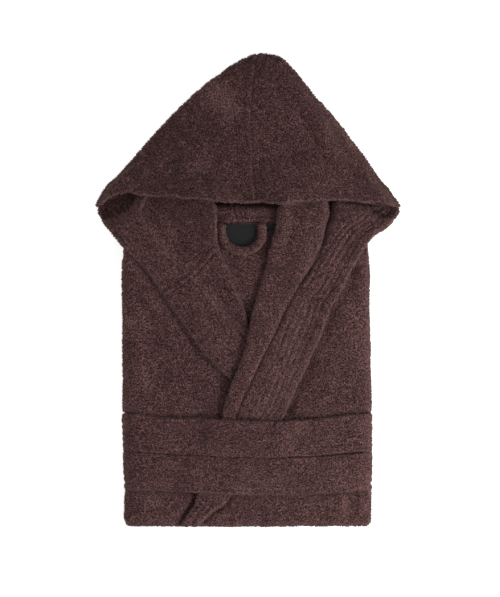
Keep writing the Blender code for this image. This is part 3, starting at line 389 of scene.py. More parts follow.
def front_panel(inner_line, side, cover, lapped):
    """A front panel: flat on the cover, bent down over the stack's side and lower fold."""
    inward = -1 if side == "right" else 1
    bend = 1 - np.sin(np.radians(SIDE_TURNS))
    top = SIDES[0].y
    highest = FRONT_ROWS_Y[0]
    rows = np.array([top, (top + highest) / 2, *FRONT_ROWS_Y, *(FOLD_Y - SIDE_BEND * (1 - bend[::-1]))])
    rise = (inner_line[0].y - top) * np.clip((rows - highest) / (top - highest), 0, 1)
    inner_x = read(inner_line, "x", "y", rows + rise)
    side_x = read(SIDES, side, "y", rows) + inward * (TERRY / 2 + belt_pinch(rows) * BELT_PINCH)
    width = np.abs(inner_x - side_x)[:, None]
    edge = np.tile(SIDE_BEND * bend, (len(rows), 1))
    away = np.concatenate([edge, SIDE_BEND + (width - SIDE_BEND) * even(FRONT_COLUMNS + 1)[1:]], axis=1)
    x = side_x[:, None] + inward * away
    y = rows[:, None] + rise[:, None] * away / width

    lap = np.clip((x - LAP_START) / (LAP_END - LAP_START), 0, 1) if lapped else 0
    low_bend = SIDE_BEND + (LAPPED_BEND - SIDE_BEND) * lap
    below = (FOLD_Y - y).clip(0, SIDE_BEND) / SIDE_BEND
    beside = (SIDE_BEND - away).clip(0, SIDE_BEND) / SIDE_BEND
    most = np.maximum(below, beside)
    size = (below**CORNER_POWER + beside**CORNER_POWER) ** (1 / CORNER_POWER)
    round_off = most / np.maximum(size, 1e-9)  # rounds the corner in plan
    start_x = x + inward * beside * SIDE_BEND
    start_y = np.maximum(y, FOLD_Y)
    start = np.stack([start_x, start_y], axis=-1)
    flat = flat_piece(start, cover, TERRY)
    flat[..., 0] -= inward * beside * SIDE_BEND * round_off
    flat[..., 1] -= below * low_bend * round_off
    flat[..., 2] -= low_bend * (1 - np.sqrt(1 - most**2))
    return flat


def low_band(cover):
    """The stretch of the right front's band below the belt, bent over the lower fold with it."""
    radius = LAPPED_BEND + TERRY / 2 + 2 * GAP + TWO_PLY / 2
    places = net(LOW_RIM, LOW_SEAM, LOW_SHARES, BAND_COLUMNS, first_gap=0, last_gap=GAP)
    start = np.stack([places[..., 0], np.maximum(places[..., 1], FOLD_Y)], axis=-1)
    band = flat_piece(start, cover, TWO_PLY)
    below = np.minimum((FOLD_Y - places[..., 1]).clip(0) / radius, 1)
    band[..., 1] = np.minimum(start[..., 1], FOLD_Y) - below * radius + (start[..., 1] - FOLD_Y)
    band[..., 2] += GAP - radius * (1 - np.sqrt(1 - below**2))
    return band


def hood_half(side, cover_low, cover_high):
    """One panel of the hood: upper layer from the crown seam, fold at the outline, lower layer."""
    shares = np.array(HOOD_SHARES)
    aside, edge = [-SEAM / 2 if side == "left" else SEAM / 2, 0], HOOD_EDGES[side]
    crown = along(CROWN_SEAM, shares) + aside
    beneath = along(LOWER_SEAM, shares) + aside
    fine = even(OUTLINE_POINTS)
    fold_end = np.interp(-HOOD_FOLD_END_Y, -along(edge, fine)[:, 1], fine)
    radius = HOOD_FOLD_RADIUS + (HOOD_TIP_RADIUS - HOOD_FOLD_RADIUS) * shares**TIP_POWER

    def fold_centre(at):
        outline = along(edge, at)
        outward = unit(outline - crown)
        return outline - outward * (radius + TERRY / 2)[:, None], outward

    upper_centre, outward = fold_centre(shares)
    lower_centre = fold_centre(shares * fold_end)[0]
    bend = np.linspace(math.radians(HOOD_LEAN), math.pi, HOOD_TURNS)[None, :]
    share = (bend / (math.pi / 2) - 1).clip(0)[..., None]
    fold = upper_centre[:, None] * (1 - share) + lower_centre[:, None] * share
    low = cover_low.rest(fold, TERRY) + HOOD_LIFT
    fold = fold + outward[:, None] * (radius[:, None] * np.sin(bend))[..., None]
    fold_z = low + radius[:, None] * (1 + np.cos(bend))

    out = np.array(HOOD_OUT)[None, :]
    upper = crown[:, None] + (fold[:, :1] - crown[:, None]) * out[..., None]
    bulge = read(MOUTH, "y", "x", upper[-1:, :, 0]) - upper[-1:, :, 1]
    upper[..., 1] += bulge * shares[:, None] ** MOUTH_POWER
    height = PEAK_HEIGHT + (HOOD_CROWN - PEAK_HEIGHT) * (1 - (1 - shares) ** CREST_POWER)
    arch = fold_z[:, :1] + (height[:, None] - fold_z[:, :1]) * (1 - out**ARCH_POWER)
    resting = flat_piece(upper, cover_high, TERRY)[..., 2] + HOOD_PUFF * (1 - out)
    upper = np.concatenate([upper, np.maximum(arch, resting)[..., None]], axis=-1)

    back = np.array(HOOD_BACK)[None, :, None]
    lower = flat_piece(lower_centre[:, None] + (beneath - lower_centre)[:, None] * back, cover_low, TERRY)
    return np.concatenate([upper, np.concatenate([fold, fold_z[..., None]], axis=-1), lower], axis=1)


def hood_lower(side, cover_low):
    """Where the hood's lower layer will lie, for what is laid on it."""
    rows, columns = HOOD_LOWER_NET
    places = net(LOWER_SEAM, HOOD_EDGES[side], even(rows), columns, first_gap=0, last_gap=HOOD_TIP_RADIUS)
    return flat_piece(places, cover_low, TERRY)


def neck_half(side, cover):
    """The strip of hood between the lapels: level from the neck seam on, then falling into the hood."""
    edge_x = NECK_LEFT_X if side == "left" else NECK_RIGHT_X
    edge = [At(edge_x, p.y) for p in NECK_CENTRE_SEAM]
    places = net(edge, NECK_CENTRE_SEAM, NECK_SHARES, NECK_COLUMNS, first_gap=0, last_gap=SEAM / 2)
    strip = flat_piece(places, cover, TERRY)
    collar = COLLAR_HEIGHT - COLLAR_FALL * (places[..., 1] - COLLAR_END_Y).clip(0)
    strip[..., 2] = np.maximum(strip[..., 2], collar)
    return strip


def turned_net(tip_lines, hood_lines, columns, **gaps):
    """Points across a turned-out piece: the rows at the hood's tip, then those from there on."""
    tip = net(*tip_lines, TIP_SHARES, columns, **gaps)
    return np.concatenate([tip, net(*hood_lines, HOOD_BAND_SHARES, columns, **gaps)])


def turned_band(places, ridge, cover, low_cover):
    """The hem where the hood turns out: high as far as a ridge, and dropping into the hood behind it."""
    line = along(ridge, even(RIDGE_POINTS))
    to_ridge = norm(places[:, :, None] - line).min(axis=-1)
    beyond = places[..., 1] > read(ridge, "y", "x", places[..., 0])
    drop = smooth_step(np.minimum(to_ridge * beyond / TIP_DROP, 1))
    high = flat_piece(places, cover, TWO_PLY)[..., 2] + TIP_RIDGE * fading(to_ridge, TIP_RIDGE_REACH)
    low = low_cover.rest(places, TWO_PLY)
    curl = TIP_CURL * fading(norm(places - places[:, :1]), TIP_CURL_REACH) * drop[:, :1]
    curl *= np.clip((TIP_CURL_Y - places[:, :1, 1]) / TIP_CURL_EASE, 0, 1)
    z = high + (low - high) * drop + curl
    return raised(np.concatenate([places, z[..., None]], axis=-1), low_cover, TWO_PLY) + [0, 0, GAP]


def ribbon(table, width, rows):
    """A strip of even width along a table of places."""
    middle = along(table, even(rows))
    aside = turned_left(unit(np.gradient(middle, axis=0))) * width / 2
    return middle[:, None] + aside[:, None] * np.linspace(-1, 1, RIBBON_COLUMNS)[None, :, None]


def belt_turn(top_edge, low_edge, cover):
    """One turn of the belt round the stack, between two edges."""

    def edges(x):
        top = read(top_edge, "y", "x", x) - GAP
        low = read(low_edge, "y", "x", x) + GAP
        return top + (low - top) * even(BAND_COLUMNS)[None, :]

    side_inset = BELT_BEND + TWO_PLY / 2
    left = read(SIDES, "left", "y", edges(BELT_TOP[0].x)) + side_inset
    right = read(SIDES, "right", "y", edges(BELT_TOP[-1].x)) - side_inset
    x = left + (right - left) * even(BELT_LENGTHS[0])[:, None]
    top = flat_piece(np.stack([x, edges(x)], axis=-1), cover, TWO_PLY) + [0, 0, GAP]

    def bend_down(end, sign):
        turn, low_turn = np.radians(BELT_TURNS)[:, None], np.radians(BELT_LOW_TURNS)[:, None]
        side_x = end[:, 0] + sign * BELT_BEND
        over_x = end[:, 0] + sign * BELT_BEND * np.sin(turn)
        over_z = end[:, 2] - BELT_BEND * (1 - np.cos(turn))
        under_x = side_x - sign * BELT_BOTTOM_BEND * (1 - np.cos(low_turn))
        under_z = TWO_PLY / 2 + BELT_BOTTOM_BEND * (1 - np.sin(low_turn)) * np.ones((1, BAND_COLUMNS))
        half_z = (over_z[-1:] + under_z[:1]) / 2
        side_points = np.concatenate([over_x, side_x[None], under_x])
        heights = np.concatenate([over_z, half_z, under_z])
        return np.stack([side_points, np.broadcast_to(end[:, 1], heights.shape), heights], axis=-1)

    right_side = bend_down(top[-1], 1)
    left_side = bend_down(top[0], -1)
    share = even(BELT_LENGTHS[1])[1:-1, None, None]
    bottom = right_side[-1:] + (left_side[-1:] - right_side[-1:]) * share
    return np.concatenate([top, right_side, bottom, left_side[::-1], top[:1]])


BOTH = ("left", "right")
TRIM = ("neck_label", "size_tag")
HOOD = ("hood_left", "hood_right")
FRONTS = ("front_left", "front_right")

# Finer form
CLOTH_STEP, HOOD_STEP, TRIM_STEP = 3.6, 2.4, 1.0  # between points: plain cloth, hood, labels and loop
ROW_STEP = 1.3  # across rows of stitching
BEND_GAP = 4.0  # points nearer than this are on a bend, which gets twice as many
RIM_SHARES = (0.06, 0.25, 0.55, 1.0)  # of half the thickness, where the rounded rim gets its points
RIM_CLEAR = 1.2  # rims in which a net keeps no points of its own
LEAST_WALL = 0.3  # what stays of the cloth under the deepest trough

# Pile: each loop lies over as a low ridge
LOOPS_PER_MM2 = 0.42
LOOP_LENGTH, LOOP_BREADTH, LOOP_HEIGHT = 2.8, 1.4, 2.0
LOOP_SIZES, LOOP_LEAN, LOOP_TAIL = (0.7, 1.3), 0.7, 0.7  # least and most share of those, lean and tail
LOOP_SINK, LOOP_LOWEST = 0.35, 0.02
LOOP_PRESSED, LOOP_LEAST = 0.4, 0.3  # loops in a groove are smaller: by its depth, and the smallest
BARE_BELOW, BARE_TILT = 2.0, -0.3  # cloth this low that faces down like this has no loops
LOOK_FROM, LOOK_FAR = 1.1, 45.0  # a loop shows if nothing is this near, looking out from it
LOOK_RISING, LOOK_SKY = 0.55, np.array([0, 0, 0.83])
LOOK_OUT, LOOK_ASIDE = 0.6, 0.8
SEED = 11

# Rows of stitching: distance from the piece's first edge, and depth
Row = namedtuple("Row", "at depth")
stitches = table_of(Row)
HOOD_ROWS = stitches((5, 0.7), (12, 1.0), (20, 1.1), (34, 1.3))
STITCHED = {
    "hood_band": stitches((4, 0.7), (11, 1.2), (18.5, 1.1), (26, 1.4), (33.5, 1.2), (41.5, 1.2)),
    "front_band": stitches((4, 0.7), (12, 0.9), (20.5, 0.7), (29, 0.9), (37.5, 0.7), (46, 0.9)),
    "belt_upper": stitches((4, 0.4), (12, 0.7), (21, 0.3), (28.5, 0.5), (38, 0.6), (46, 0.4)),
    "belt_lower": stitches((4, 0.3), (14, 0.4), (23, 0.7), (33, 0.7), (42, 1.4)),
}
GROOVE, SHALLOWEST = 2.0, 0.25  # half the width of a row, and the least share of its depth
ROW_WANDER, ROW_UNEVEN = (30.0, 1.5), (19.0, 1.5)  # size and height of the noise that moves and fades it

# Soft creases and swells: from one place to another, half width, and height
Fold = namedtuple("Fold", "x0 y0 x1 y1 width height")
folds = table_of(Fold)
HOOD_FOLDS = folds(
    (26, 304, 116, 184, 11, 10.0), (60, 296, 150, 186, 14, -3.0), (16, 296, 100, 176, 10, -1.2),
    (-62, 290, -14, 222, 18, -1.6), (-96, 236, -140, 176, 15, 1.2), (-34, 208, -88, 150, 16, -1.0),
    (60, 168, 148, 158, 12, 1.0))
FRONT_FOLDS = folds(
    (132, -274, 131, -308, 5, -1.8), (114, -276, 113, -300, 4, -0.8), (150, -272, 149, -306, 4, 0.9),
    (20, -282, 96, -290, 8, -0.8), (-150, -20, -140, -120, 12, -0.9), (-118, -60, -104, -150, 12, 0.8),
    (-150, -110, -120, -156, 9, -0.8), (140, 0, 148, -120, 12, -0.9), (112, -90, 96, -158, 11, 0.8),
    (-150, -282, -110, -292, 9, -0.9))
LAPEL_FOLDS = folds(
    (-96, 116, -62, 40, 12, 0.9), (-120, 104, -86, 48, 9, -0.8), (84, 112, 62, 30, 10, 0.9),
    (56, 112, 52, 60, 7, -0.8))
FOLD_BOW, FOLD_TURN, FOLD_FADE = 0.06, 3, 2.1  # how much a fold bows, how it turns, and how it ends

# Where a piece's edge presses into the cloth below it: the edge, how deep and how wide
Press = namedtuple("Press", "line depth width")
UNDER_BELT = (Press(BELT_TOP, 2.2, 7.0), Press(BELT_LOWER, 2.7, 6.0))
PRESSES = {
    "front_left": UNDER_BELT + (
        Press(HOOD_RIM_LEFT, 2.4, 12.0), Press(RIM_LEFT, 2.4, 12.0), Press(LOW_RIM, 2.4, 8.0)),
    "front_right": UNDER_BELT + (
        Press(HOOD_RIM_RIGHT, 2.4, 11.0), Press(RIM_RIGHT, 2.4, 10.0), Press(LOW_SEAM, 2.6, 5.0)),
    "front_band_left": (Press(ROLL_RIGHT, 2.6, 7.0),),
    "front_band_right": (Press(BELT_TOP, 2.6, 6.0),),
    "front_band_low": (Press(BELT_LOWER, 2.4, 6.0),),
    "lapel_left": (Press(ROLL_RIGHT, 2.2, 7.0),),
    "lapel_right": (Press(BELT_TOP, 2.2, 6.0),),
    "back_inside": (
        Press(HOOD_ROLL_LEFT, 2.6, 8.0), Press(ROLL_LEFT, 2.6, 8.0), Press(HOOD_ROLL_RIGHT, 2.2, 8.0),
        Press(ROLL_RIGHT, 2.2, 8.0), Press(HANGING_LOOP, 2.2, 8.0)),
}
for side in BOTH:
    PRESSES[f"hood_lapel_{side}"] = (Press(MOUTH, 2.2, 6.0),)
    PRESSES[f"hood_band_{side}"] = PRESSES[f"hood_neck_{side}"] = (Press(MOUTH, 2.2, 5.0),)
PRESS_POINTS = 80  # along each pressing edge
TRENCH = 1.5  # how much of a press the whole thickness of a front panel follows

# Edges that are sewn to each other
Seam = namedtuple("Seam", "one edge other other_edge")
SIDE_SEAMS = (
    ("hood_band", "last", "hood_lapel", "first"), ("front_band", "last", "lapel", "first"),
    ("hood_band", "end", "front_band", "start"), ("hood_lapel", "end", "lapel", "start"))
SEAMS = [
    Seam(f"{one}_{side}", edge, f"{other}_{side}", other_edge)
    for one, edge, other, other_edge in SIDE_SEAMS for side in BOTH]
SEAMS += [
    Seam("hood_neck_left", "last", "hood_neck_right", "last"),
    Seam("hood_left", "first", "hood_right", "first")]
SEAM_REACH, SEAM_MOST = 7.0, 9.0  # how far the pull of a seam goes, and the widest gap that it closes
SEAM_STEPS = 9  # places between two points of an edge where the other edge may meet it, and its ends
CREASE_TOP_Y, CREASE_END_Y, CREASE_DEPTH = 112.0, -5.0, 13.0
CREASE_REACH = {"hood_band_right": 4.5, "hood_lapel_right": 7.0}
TURNS_APART, TURNS_APART_RIGHT, TURNS_APART_TO = 0.4, 1.1, 158.0
TURNS_WANDER, TURNS_FADE, TURNS_LEAST = (14.0, 0.9, 2.0), 10, 0.1
STACK_BELOW = 6.5  # how far the middle of the stack's top lies below the front panels' underside
TIP_OUT, TIP_HANG, TIP_WAY, TIP_WAY_BACK = 3.5, 8.0, 9.0, 18.0
MOUTH_WAVE, MOUTH_WAVE_WAY = 1.5, 16.0  # how far the hood's free edge wanders, and how far that reaches
MOUTH_WAVES = ((19.0, 1.6, 3.0), (5.5, 0.9, 6.0))  # size, share and seed of each wave

# The lines and nets of the cloth that turns out on each side, with its bands
Turned = namedtuple(
    "Turned", "tip_rim tip_hem tip_roll ridge hood_rim hood_hem hood_roll rim seam roll gap hood_columns "
    "columns rows lapel_rows swell")
TURNED = {
    "left": Turned(
        TIP_RIM_LEFT, TIP_HEM_LEFT, TIP_ROLL_LEFT, RIDGE_LEFT, HOOD_RIM_LEFT, HOOD_HEM_LEFT, HOOD_ROLL_LEFT,
        RIM_LEFT, BAND_SEAM_LEFT, ROLL_LEFT, gap=0.1, hood_columns=6,
        columns=6, rows=12, lapel_rows=9, swell=0),
    "right": Turned(
        TIP_RIM_RIGHT, TIP_HEM_RIGHT, TIP_ROLL_RIGHT, RIDGE_RIGHT, HOOD_RIM_RIGHT, HOOD_HEM_RIGHT,
        HOOD_ROLL_RIGHT, RIM_RIGHT, BAND_SEAM_RIGHT, ROLL_RIGHT, gap=0.5, hood_columns=LAPEL_COLUMNS,
        columns=5, rows=15, lapel_rows=15, swell=SWELL),
}

# How each piece is finished: rounding of its rims (first and last column, first and last row), how it is
# held, and what it lies on. A seam has a small rounding, and a free edge half the thickness.
Finish = namedtuple("Finish", "rims held rests_on")
FREE, BAND_EDGE, SEAMED, TRIM_EDGE = TERRY / 2, TWO_PLY / 2, 0.2, 0.3
FINISHES = {
    "back_inside": Finish((FREE, FREE, SEAMED, FREE), "laid", ["folded_body"]),
    "hanging_loop": Finish((2.0, 2.0, SEAMED, SEAMED), "laid", ["back_inside"]),
    "front_left": Finish((FREE,) * 4, "folded", ["folded_body"]),
    "front_right": Finish((FREE,) * 4, "folded", ["folded_body", "front_left"]),
    "front_band_low": Finish((BAND_EDGE, SEAMED, FREE, FREE), "folded", ["front_left"]),
}
for side in BOTH:
    FINISHES[f"hood_neck_{side}"] = Finish((FREE, SEAMED, FREE, SEAMED), "laid", ["folded_body"])
    FINISHES[f"hood_lapel_{side}"] = Finish((SEAMED, FREE, FREE, SEAMED), "folded", [f"front_{side}"])
    FINISHES[f"lapel_{side}"] = Finish((SEAMED, FREE, SEAMED, FREE), "folded", [f"front_{side}"])
    FINISHES[f"hood_band_{side}"] = Finish((BAND_EDGE, SEAMED, FREE, SEAMED), "laid", [f"front_{side}"])
    FINISHES[f"front_band_{side}"] = Finish((BAND_EDGE, SEAMED, SEAMED, FREE), "laid", [f"front_{side}"])
    FINISHES[f"hood_{side}"] = Finish((SEAMED, SEAMED, SEAMED, FREE), "folded", ["folded_body"])
for name in TRIM:
    FINISHES[name] = Finish((TRIM_EDGE,) * 4, "laid", ["back_inside"])
for name in ("belt_upper", "belt_lower"):
    FINISHES[name] = Finish((BAND_EDGE, BAND_EDGE, 0, 0), "folded", ["folded_body", *FRONTS])

# Relief. Lumps are noise of a size and a height; a bump has its place, width and height.
LUMPS, SMALL_LUMPS = (46.0, 0.8), (12.0, 0.7)
LUMPS_STITCHED, LUMPS_LABEL = 0.6, 0.25  # the share of the lumps there
HEM_WIDTH, HEM_RISE, HEM_EASE = 34.0, 0.8, 1.2  # the hem on the hood's mouth, whose second ply raises it
WELT, LOW_WELT, WELT_AWAY, WELT_WIDTH = 1.9, 0.6, 3.6, 2.6  # the ridge that runs beside a seam
RIM_RISE, LOW_RISE, RIM_AT, RIM_WIDTH = 1.3, 0.2, 4.0, 6.5  # a band is fuller near its outer edge
BAND_SEAM_DEPTH, LOW_SEAM_DEPTH, BAND_SEAM_WIDTH = 1.3, 2.5, 1.8  # the seam along its inner edge
LAPEL_SEAM = (0.8, 3.6, -2.7)  # the trough in the cloth beside it
LABEL_STITCH, CROWN_GROOVE, CROWN_WELT = (1.8, 0.5, -0.22), (0, 1.6, -0.8), (4.5, 2.6, 0.5)
NECK_GROOVE, END_GROOVE = (0, 1.4, -0.8), (0, 1.5, -0.7)
LOOP_CROWN, LOOP_LIFT, LOOP_SHARE = 2.4, 1.2, 0.84  # hanging loop: rise of its middle, of it all, its width

# The folded stack
STACK_STEP, STACK_RINGS, STACK_UNEVEN, UNEVEN_FROM = 4.0, 27, (42.0, 0.9, 5.0), 6
STACK_UNDER, STACK_OVER = (0, 0.15, 0.3, 0.45, 0.6, 0.72, 0.83, 0.92, 0.97), (0.97, 0.85, 0.6, 0.3, 0)
STACK_LUMPS, STACK_SMALL_LUMPS, STACK_FILL = (40.0, 0.5, 4.0), (11.0, 0.4, 8.0), 0.4
BELT_ROOM, BELT_ROOM_EASE = 2, 1.5  # the underside is raised this far past the belt's edges, and how softly

# Paint, camera and light
# Ends of the terry's speckle: the cloth's brown, darkened by painted shade in the gaps between loops and
# lightened by painted light on the loops
TERRY_BROWN_SHADED, TERRY_BROWN_LIT = (0.023, 0.0103, 0.0100), (0.205, 0.103, 0.099)
LABEL_DARK, LABEL_LIGHT = (0.007, 0.0074, 0.0078), (0.016, 0.0168, 0.0175)
FLOOR_HALF, FLOOR_Z = 4000, -0.4
FLOOR_GLOW = 0.7  # keeps the floor white round the robe
FRAME_LONG_SIDE = 806.0  # what the long side of the picture takes in, at the height of the cloth
LENS, SENSOR = 250.0, 36.0
AIM = (1.7, -11.5, 38.0)
LAMP_AIM, CLIP_END = (0, 0, 0.02), 100  # both in metres
Lamp = namedtuple("Lamp", "name x y z width length watts")
LAMPS = (
    Lamp("key", 900, -330, 900, 400, 400, 8.2),
    Lamp("low_key", 380, -1050, 1000, 450, 400, 4.2),
    Lamp("side_left", -1300, 0, 600, 500, 900, 2.5),
    Lamp("side_right", 1250, 200, 600, 500, 900, 2),
)
SKY = 0.45


def lay_out():
    """Every piece of cloth as the part lays it: net of its middle, thickness, and whether it is a ring."""
    pile, made = Pile(), {}

    def cloth(name, surface, thickness=TERRY, lay=True, ring=False):
        made[name] = (surface, thickness, ring)
        if lay:
            pile.lay(surface, thickness / 2)

    def turn_out(side, under):
        """The cloth that turns out on one side and its bands, laid on all that is there before them."""
        on, low, t = Cover(pile, HOOD_FALL), Cover(pile, TIP_FALL), TURNED[side]
        tip, hood = (t.tip_hem, t.tip_roll), (t.hood_hem, t.hood_roll)
        hood_lapel = turned_net(tip, hood, t.hood_columns, first_gap=t.gap)
        swell = t.swell * (1 - even(len(hood_lapel)) ** 2)
        tip, hood = (t.tip_rim, t.tip_hem), (t.hood_rim, t.hood_hem)
        hood_band = turned_net(tip, hood, HOOD_BAND_COLUMNS, first_gap=0, last_gap=GAP)
        lapel_end = (t.lapel_rows - 1) / (t.rows - 1)
        lapel = net(t.seam, t.roll, even(t.lapel_rows), t.columns, first_end=lapel_end)
        band = net(t.rim, t.seam, even(t.rows), BAND_COLUMNS, first_gap=0, last_gap=GAP)
        cloth(f"hood_lapel_{side}", rolled_piece(hood_lapel, on, under, TERRY, swell))
        cloth(f"lapel_{side}", rolled_piece(lapel, on, under, TERRY))
        cloth(f"hood_band_{side}", turned_band(hood_band, t.ridge, on, low), TWO_PLY)
        cloth(f"front_band_{side}", flat_piece(band, on, TWO_PLY), TWO_PLY)

    points, draw, inward = stack_outline()
    ring = points + inward * (draw + STACK_LAYERS[-1].inset)[:, None]
    centre = ring.mean(axis=0)
    top = np.stack([centre + (ring - centre) * share for share in even(TOP_RINGS)])
    top = np.concatenate([top, top[:, :1]], axis=1)
    pile.lay(np.concatenate([top, np.full(top.shape[:2] + (1,), STACK_HEIGHT)], axis=-1), 0)

    on_stack = Cover(pile, HOOD_FALL)
    cloth("back_inside", flat_piece(net(BACK_LEFT, BACK_RIGHT, even(9), 7), on_stack, TERRY))
    for side in BOTH:
        cloth(f"hood_neck_{side}", neck_half(side, on_stack))
    on_back = Cover(pile, HOOD_FALL)
    cloth("neck_label", flat_piece(net(LABEL_LEFT, LABEL_RIGHT, even(5), 6), on_back, TAG), TAG)
    cloth("size_tag", flat_piece(net(TAG_LEFT, TAG_RIGHT, even(2), 3), on_back, TAG), TAG)
    loop = flat_piece(ribbon(HANGING_LOOP, LOOP_WIDTH, 17), Cover(pile, HOOD_FALL), LOOP_THICKNESS)
    cloth("hanging_loop", loop, LOOP_THICKNESS)

    under_left = Cover(pile, HOOD_FALL)
    cloth("front_left", front_panel(FRONT_INNER_LEFT, "left", on_back, True))
    turn_out("left", under_left)
    under_right = Cover(pile, HOOD_FALL)
    inner_line = FRONT_INNER_RIGHT + tuple(At(p.x + 2 * GAP, p.y) for p in LOW_SEAM)
    cloth("front_right", front_panel(inner_line, "right", under_right, False))
    cloth("front_band_low", low_band(under_right), TWO_PLY)
    turn_out("right", under_right)

    on_all = Cover(pile, HOOD_FALL)
    cloth("belt_upper", belt_turn(BELT_TOP, BELT_MIDDLE, on_all), TWO_PLY, lay=False, ring=True)
    cloth("belt_lower", belt_turn(BELT_MIDDLE, BELT_LOWER, on_all), TWO_PLY, lay=False, ring=True)
    for side in BOTH:
        pile.lay(hood_lower(side, on_stack), TERRY / 2)
    on_lower = Cover(pile, HOOD_FALL)
    for side in BOTH:
        cloth(f"hood_{side}", hood_half(side, on_stack, on_lower), lay=False)
    return made


def refined(points, step, rim=0.0, ring=False):
    """A net with more rows, on smooth curves through its points, and rows close to its ends for a rim."""
    gaps = norm(np.diff(points[..., :3], axis=0)).mean(axis=1)
    knots = np.concatenate([[0], np.cumsum(gaps)])
    counts = [max(math.ceil(gap / step), 2 if gap < BEND_GAP else 1) for gap in gaps]
    at = np.concatenate([np.linspace(a, b, n, endpoint=False) for a, b, n in zip(knots, knots[1:], counts)])
    if rim and not ring:
        at = at[(at > rim * RIM_CLEAR) & (at < knots[-1] - rim * RIM_CLEAR)]
        near = rim * np.array(RIM_SHARES)
        at = np.concatenate([[0], near, at, knots[-1] - near[::-1]])
    return through(knots, gaps, points, np.append(at, knots[-1]), ring)


def across_cloth(surface):
    """Across a net at each point, in the sense of its own rows and columns."""
    return np.cross(np.gradient(surface, axis=1), np.gradient(surface, axis=0))


def normals(surface, ring=False):
    """Unit normals of a net, pointing up at its highest place."""
    down, across = np.gradient(surface, axis=0), np.gradient(surface, axis=1)
    if ring:
        down[0] = down[-1] = surface[1] - surface[-2]
    n = unit(np.cross(across, down))
    return n if n.reshape(-1, 3)[surface[..., 2].argmax(), 2] > 0 else -n


def true_normals(side, n, ring):
    """Unit normals of one side of a wall, which lean outwards over its rims."""
    made = normals(side, ring)
    return made * np.sign((made * n).sum(axis=-1, keepdims=True) + 1e-6)


def ways_from_edges(surface):
    """How far each point of a net is from each of its edges, along the cloth."""
    ways = {}
    for axis, near, far in ((1, "first", "last"), (0, "start", "end")):
        gaps = norm(np.diff(surface, axis=axis))
        start = np.zeros_like(np.take(gaps, [0], axis))
        ways[near] = np.concatenate([start, np.cumsum(gaps, axis=axis)], axis=axis)
        ways[far] = np.take(ways[near], [-1], axis) - ways[near]
    return ways


def rough(surface, size, height, seed=0.0):
    """Smooth random relief with bumps of about this size."""
    flat = (surface.reshape(-1, 3) / size + seed).tolist()
    return height * np.array([noise.noise(p) for p in flat]).reshape(surface.shape[:2])


def bump(way, at, width, height):
    return height * fading(way - at, width)


def grooves(way, table, surface):
    """Rows of stitching along a piece, each deeper in some stretches than in others."""
    relief = np.zeros_like(way)
    for k, row in enumerate(table):
        wander = rough(surface, *ROW_WANDER, 3.1 + 7.7 * k)
        uneven = 1 + rough(surface, *ROW_UNEVEN, 9.4 + 5.3 * k)
        relief -= row.depth * uneven.clip(SHALLOWEST) * fading(way - row.at - wander, GROOVE)
    return relief


def creases(surface, table):
    """Soft troughs and ridges that fade out at both ends."""
    x, y = surface[..., 0], surface[..., 1]
    relief = np.zeros_like(x)
    for f in table:
        long_x, long_y = f.x1 - f.x0, f.y1 - f.y0
        length = math.hypot(long_x, long_y)
        t = ((x - f.x0) * long_x + (y - f.y0) * long_y) / length**2
        bow = FOLD_BOW * length * np.sin(FOLD_TURN * t)
        off = ((x - f.x0) * long_y - (y - f.y0) * long_x) / length + bow
        fade = np.exp(-((FOLD_FADE * (t - 0.5)) ** 4))
        relief += f.height * fade * fading(off, f.width)
    return relief


def pressed(surface, table):
    """Shallow troughs in the cloth along the edges that lie on it."""
    relief = np.zeros(surface.shape[:2])
    for press in table:
        line = along(press.line, even(PRESS_POINTS))
        away = np.min([np.hypot(surface[..., 0] - x, surface[..., 1] - y) for x, y in line], axis=0)
        relief = np.minimum(relief, -press.depth * fading(away, press.width))
    return relief


def edge_of(surface, edge):
    edges = {"start": surface[0], "end": surface[-1], "first": surface[:, 0], "last": surface[:, -1]}
    return edges[edge].copy()


def moved_at(surface, edge, shift, reach):
    """A net with one edge moved, and the cloth beside it with it."""
    shift = shift[None] if edge in ("start", "end") else shift[:, None]
    return surface + shift * fading(ways_from_edges(surface)[edge], reach)[..., None]


def sew(surfaces):
    """Brings edges that are sewn together onto one line."""
    for seam in SEAMS:
        ends = [(seam.one, seam.edge), (seam.other, seam.other_edge)]
        lines = [edge_of(surfaces[name], edge) for name, edge in ends]
        for (name, edge), own, other in zip(ends, lines, lines[::-1]):
            steps = even(SEAM_STEPS)[:-1, None, None]
            dense = (other[:-1] + (other[1:] - other[:-1]) * steps).reshape(-1, 3)
            dense = np.concatenate([dense, other[-1:]])
            nearest = dense[norm(own[:, None] - dense).argmin(axis=1)]
            gap = norm(nearest - own)[:, None]
            shift = (nearest - own) / 2 * ((SEAM_MOST - gap) / 2).clip(0, 1)
            surfaces[name] = moved_at(surfaces[name], edge, shift, SEAM_REACH)


def sink_crease(surfaces):
    """The deep fold between the turned-out cloth and its hem on the right, deepest at the mouth."""
    for name, edge in (("hood_band_right", "last"), ("hood_lapel_right", "first")):
        y = edge_of(surfaces[name], edge)[:, 1]
        deep = ((y - CREASE_END_Y) / (CREASE_TOP_Y - CREASE_END_Y)).clip(0, 1)
        shift = np.outer(deep, [0, 0, -CREASE_DEPTH])
        surfaces[name] = moved_at(surfaces[name], edge, shift, CREASE_REACH[name])


def part_turns(surfaces):
    """The two turns of the belt apart where they meet, more so on the right."""
    for name, edge, way in (("belt_upper", "last", 1), ("belt_lower", "first", -1)):
        line = edge_of(surfaces[name], edge)
        wide = TURNS_APART + TURNS_APART_RIGHT * (line[:, 0] / SIDES[-1].right).clip(0, 1)
        wide = (wide + rough(line[:, None], *TURNS_WANDER)[:, 0]).clip(0)
        wide = wide * ((TURNS_APART_TO - np.abs(line[:, 0])) / TURNS_FADE).clip(TURNS_LEAST, 1)
        surfaces[name] = moved_at(surfaces[name], edge, np.outer(wide * way, [0, 1, 0]), SEAM_REACH)


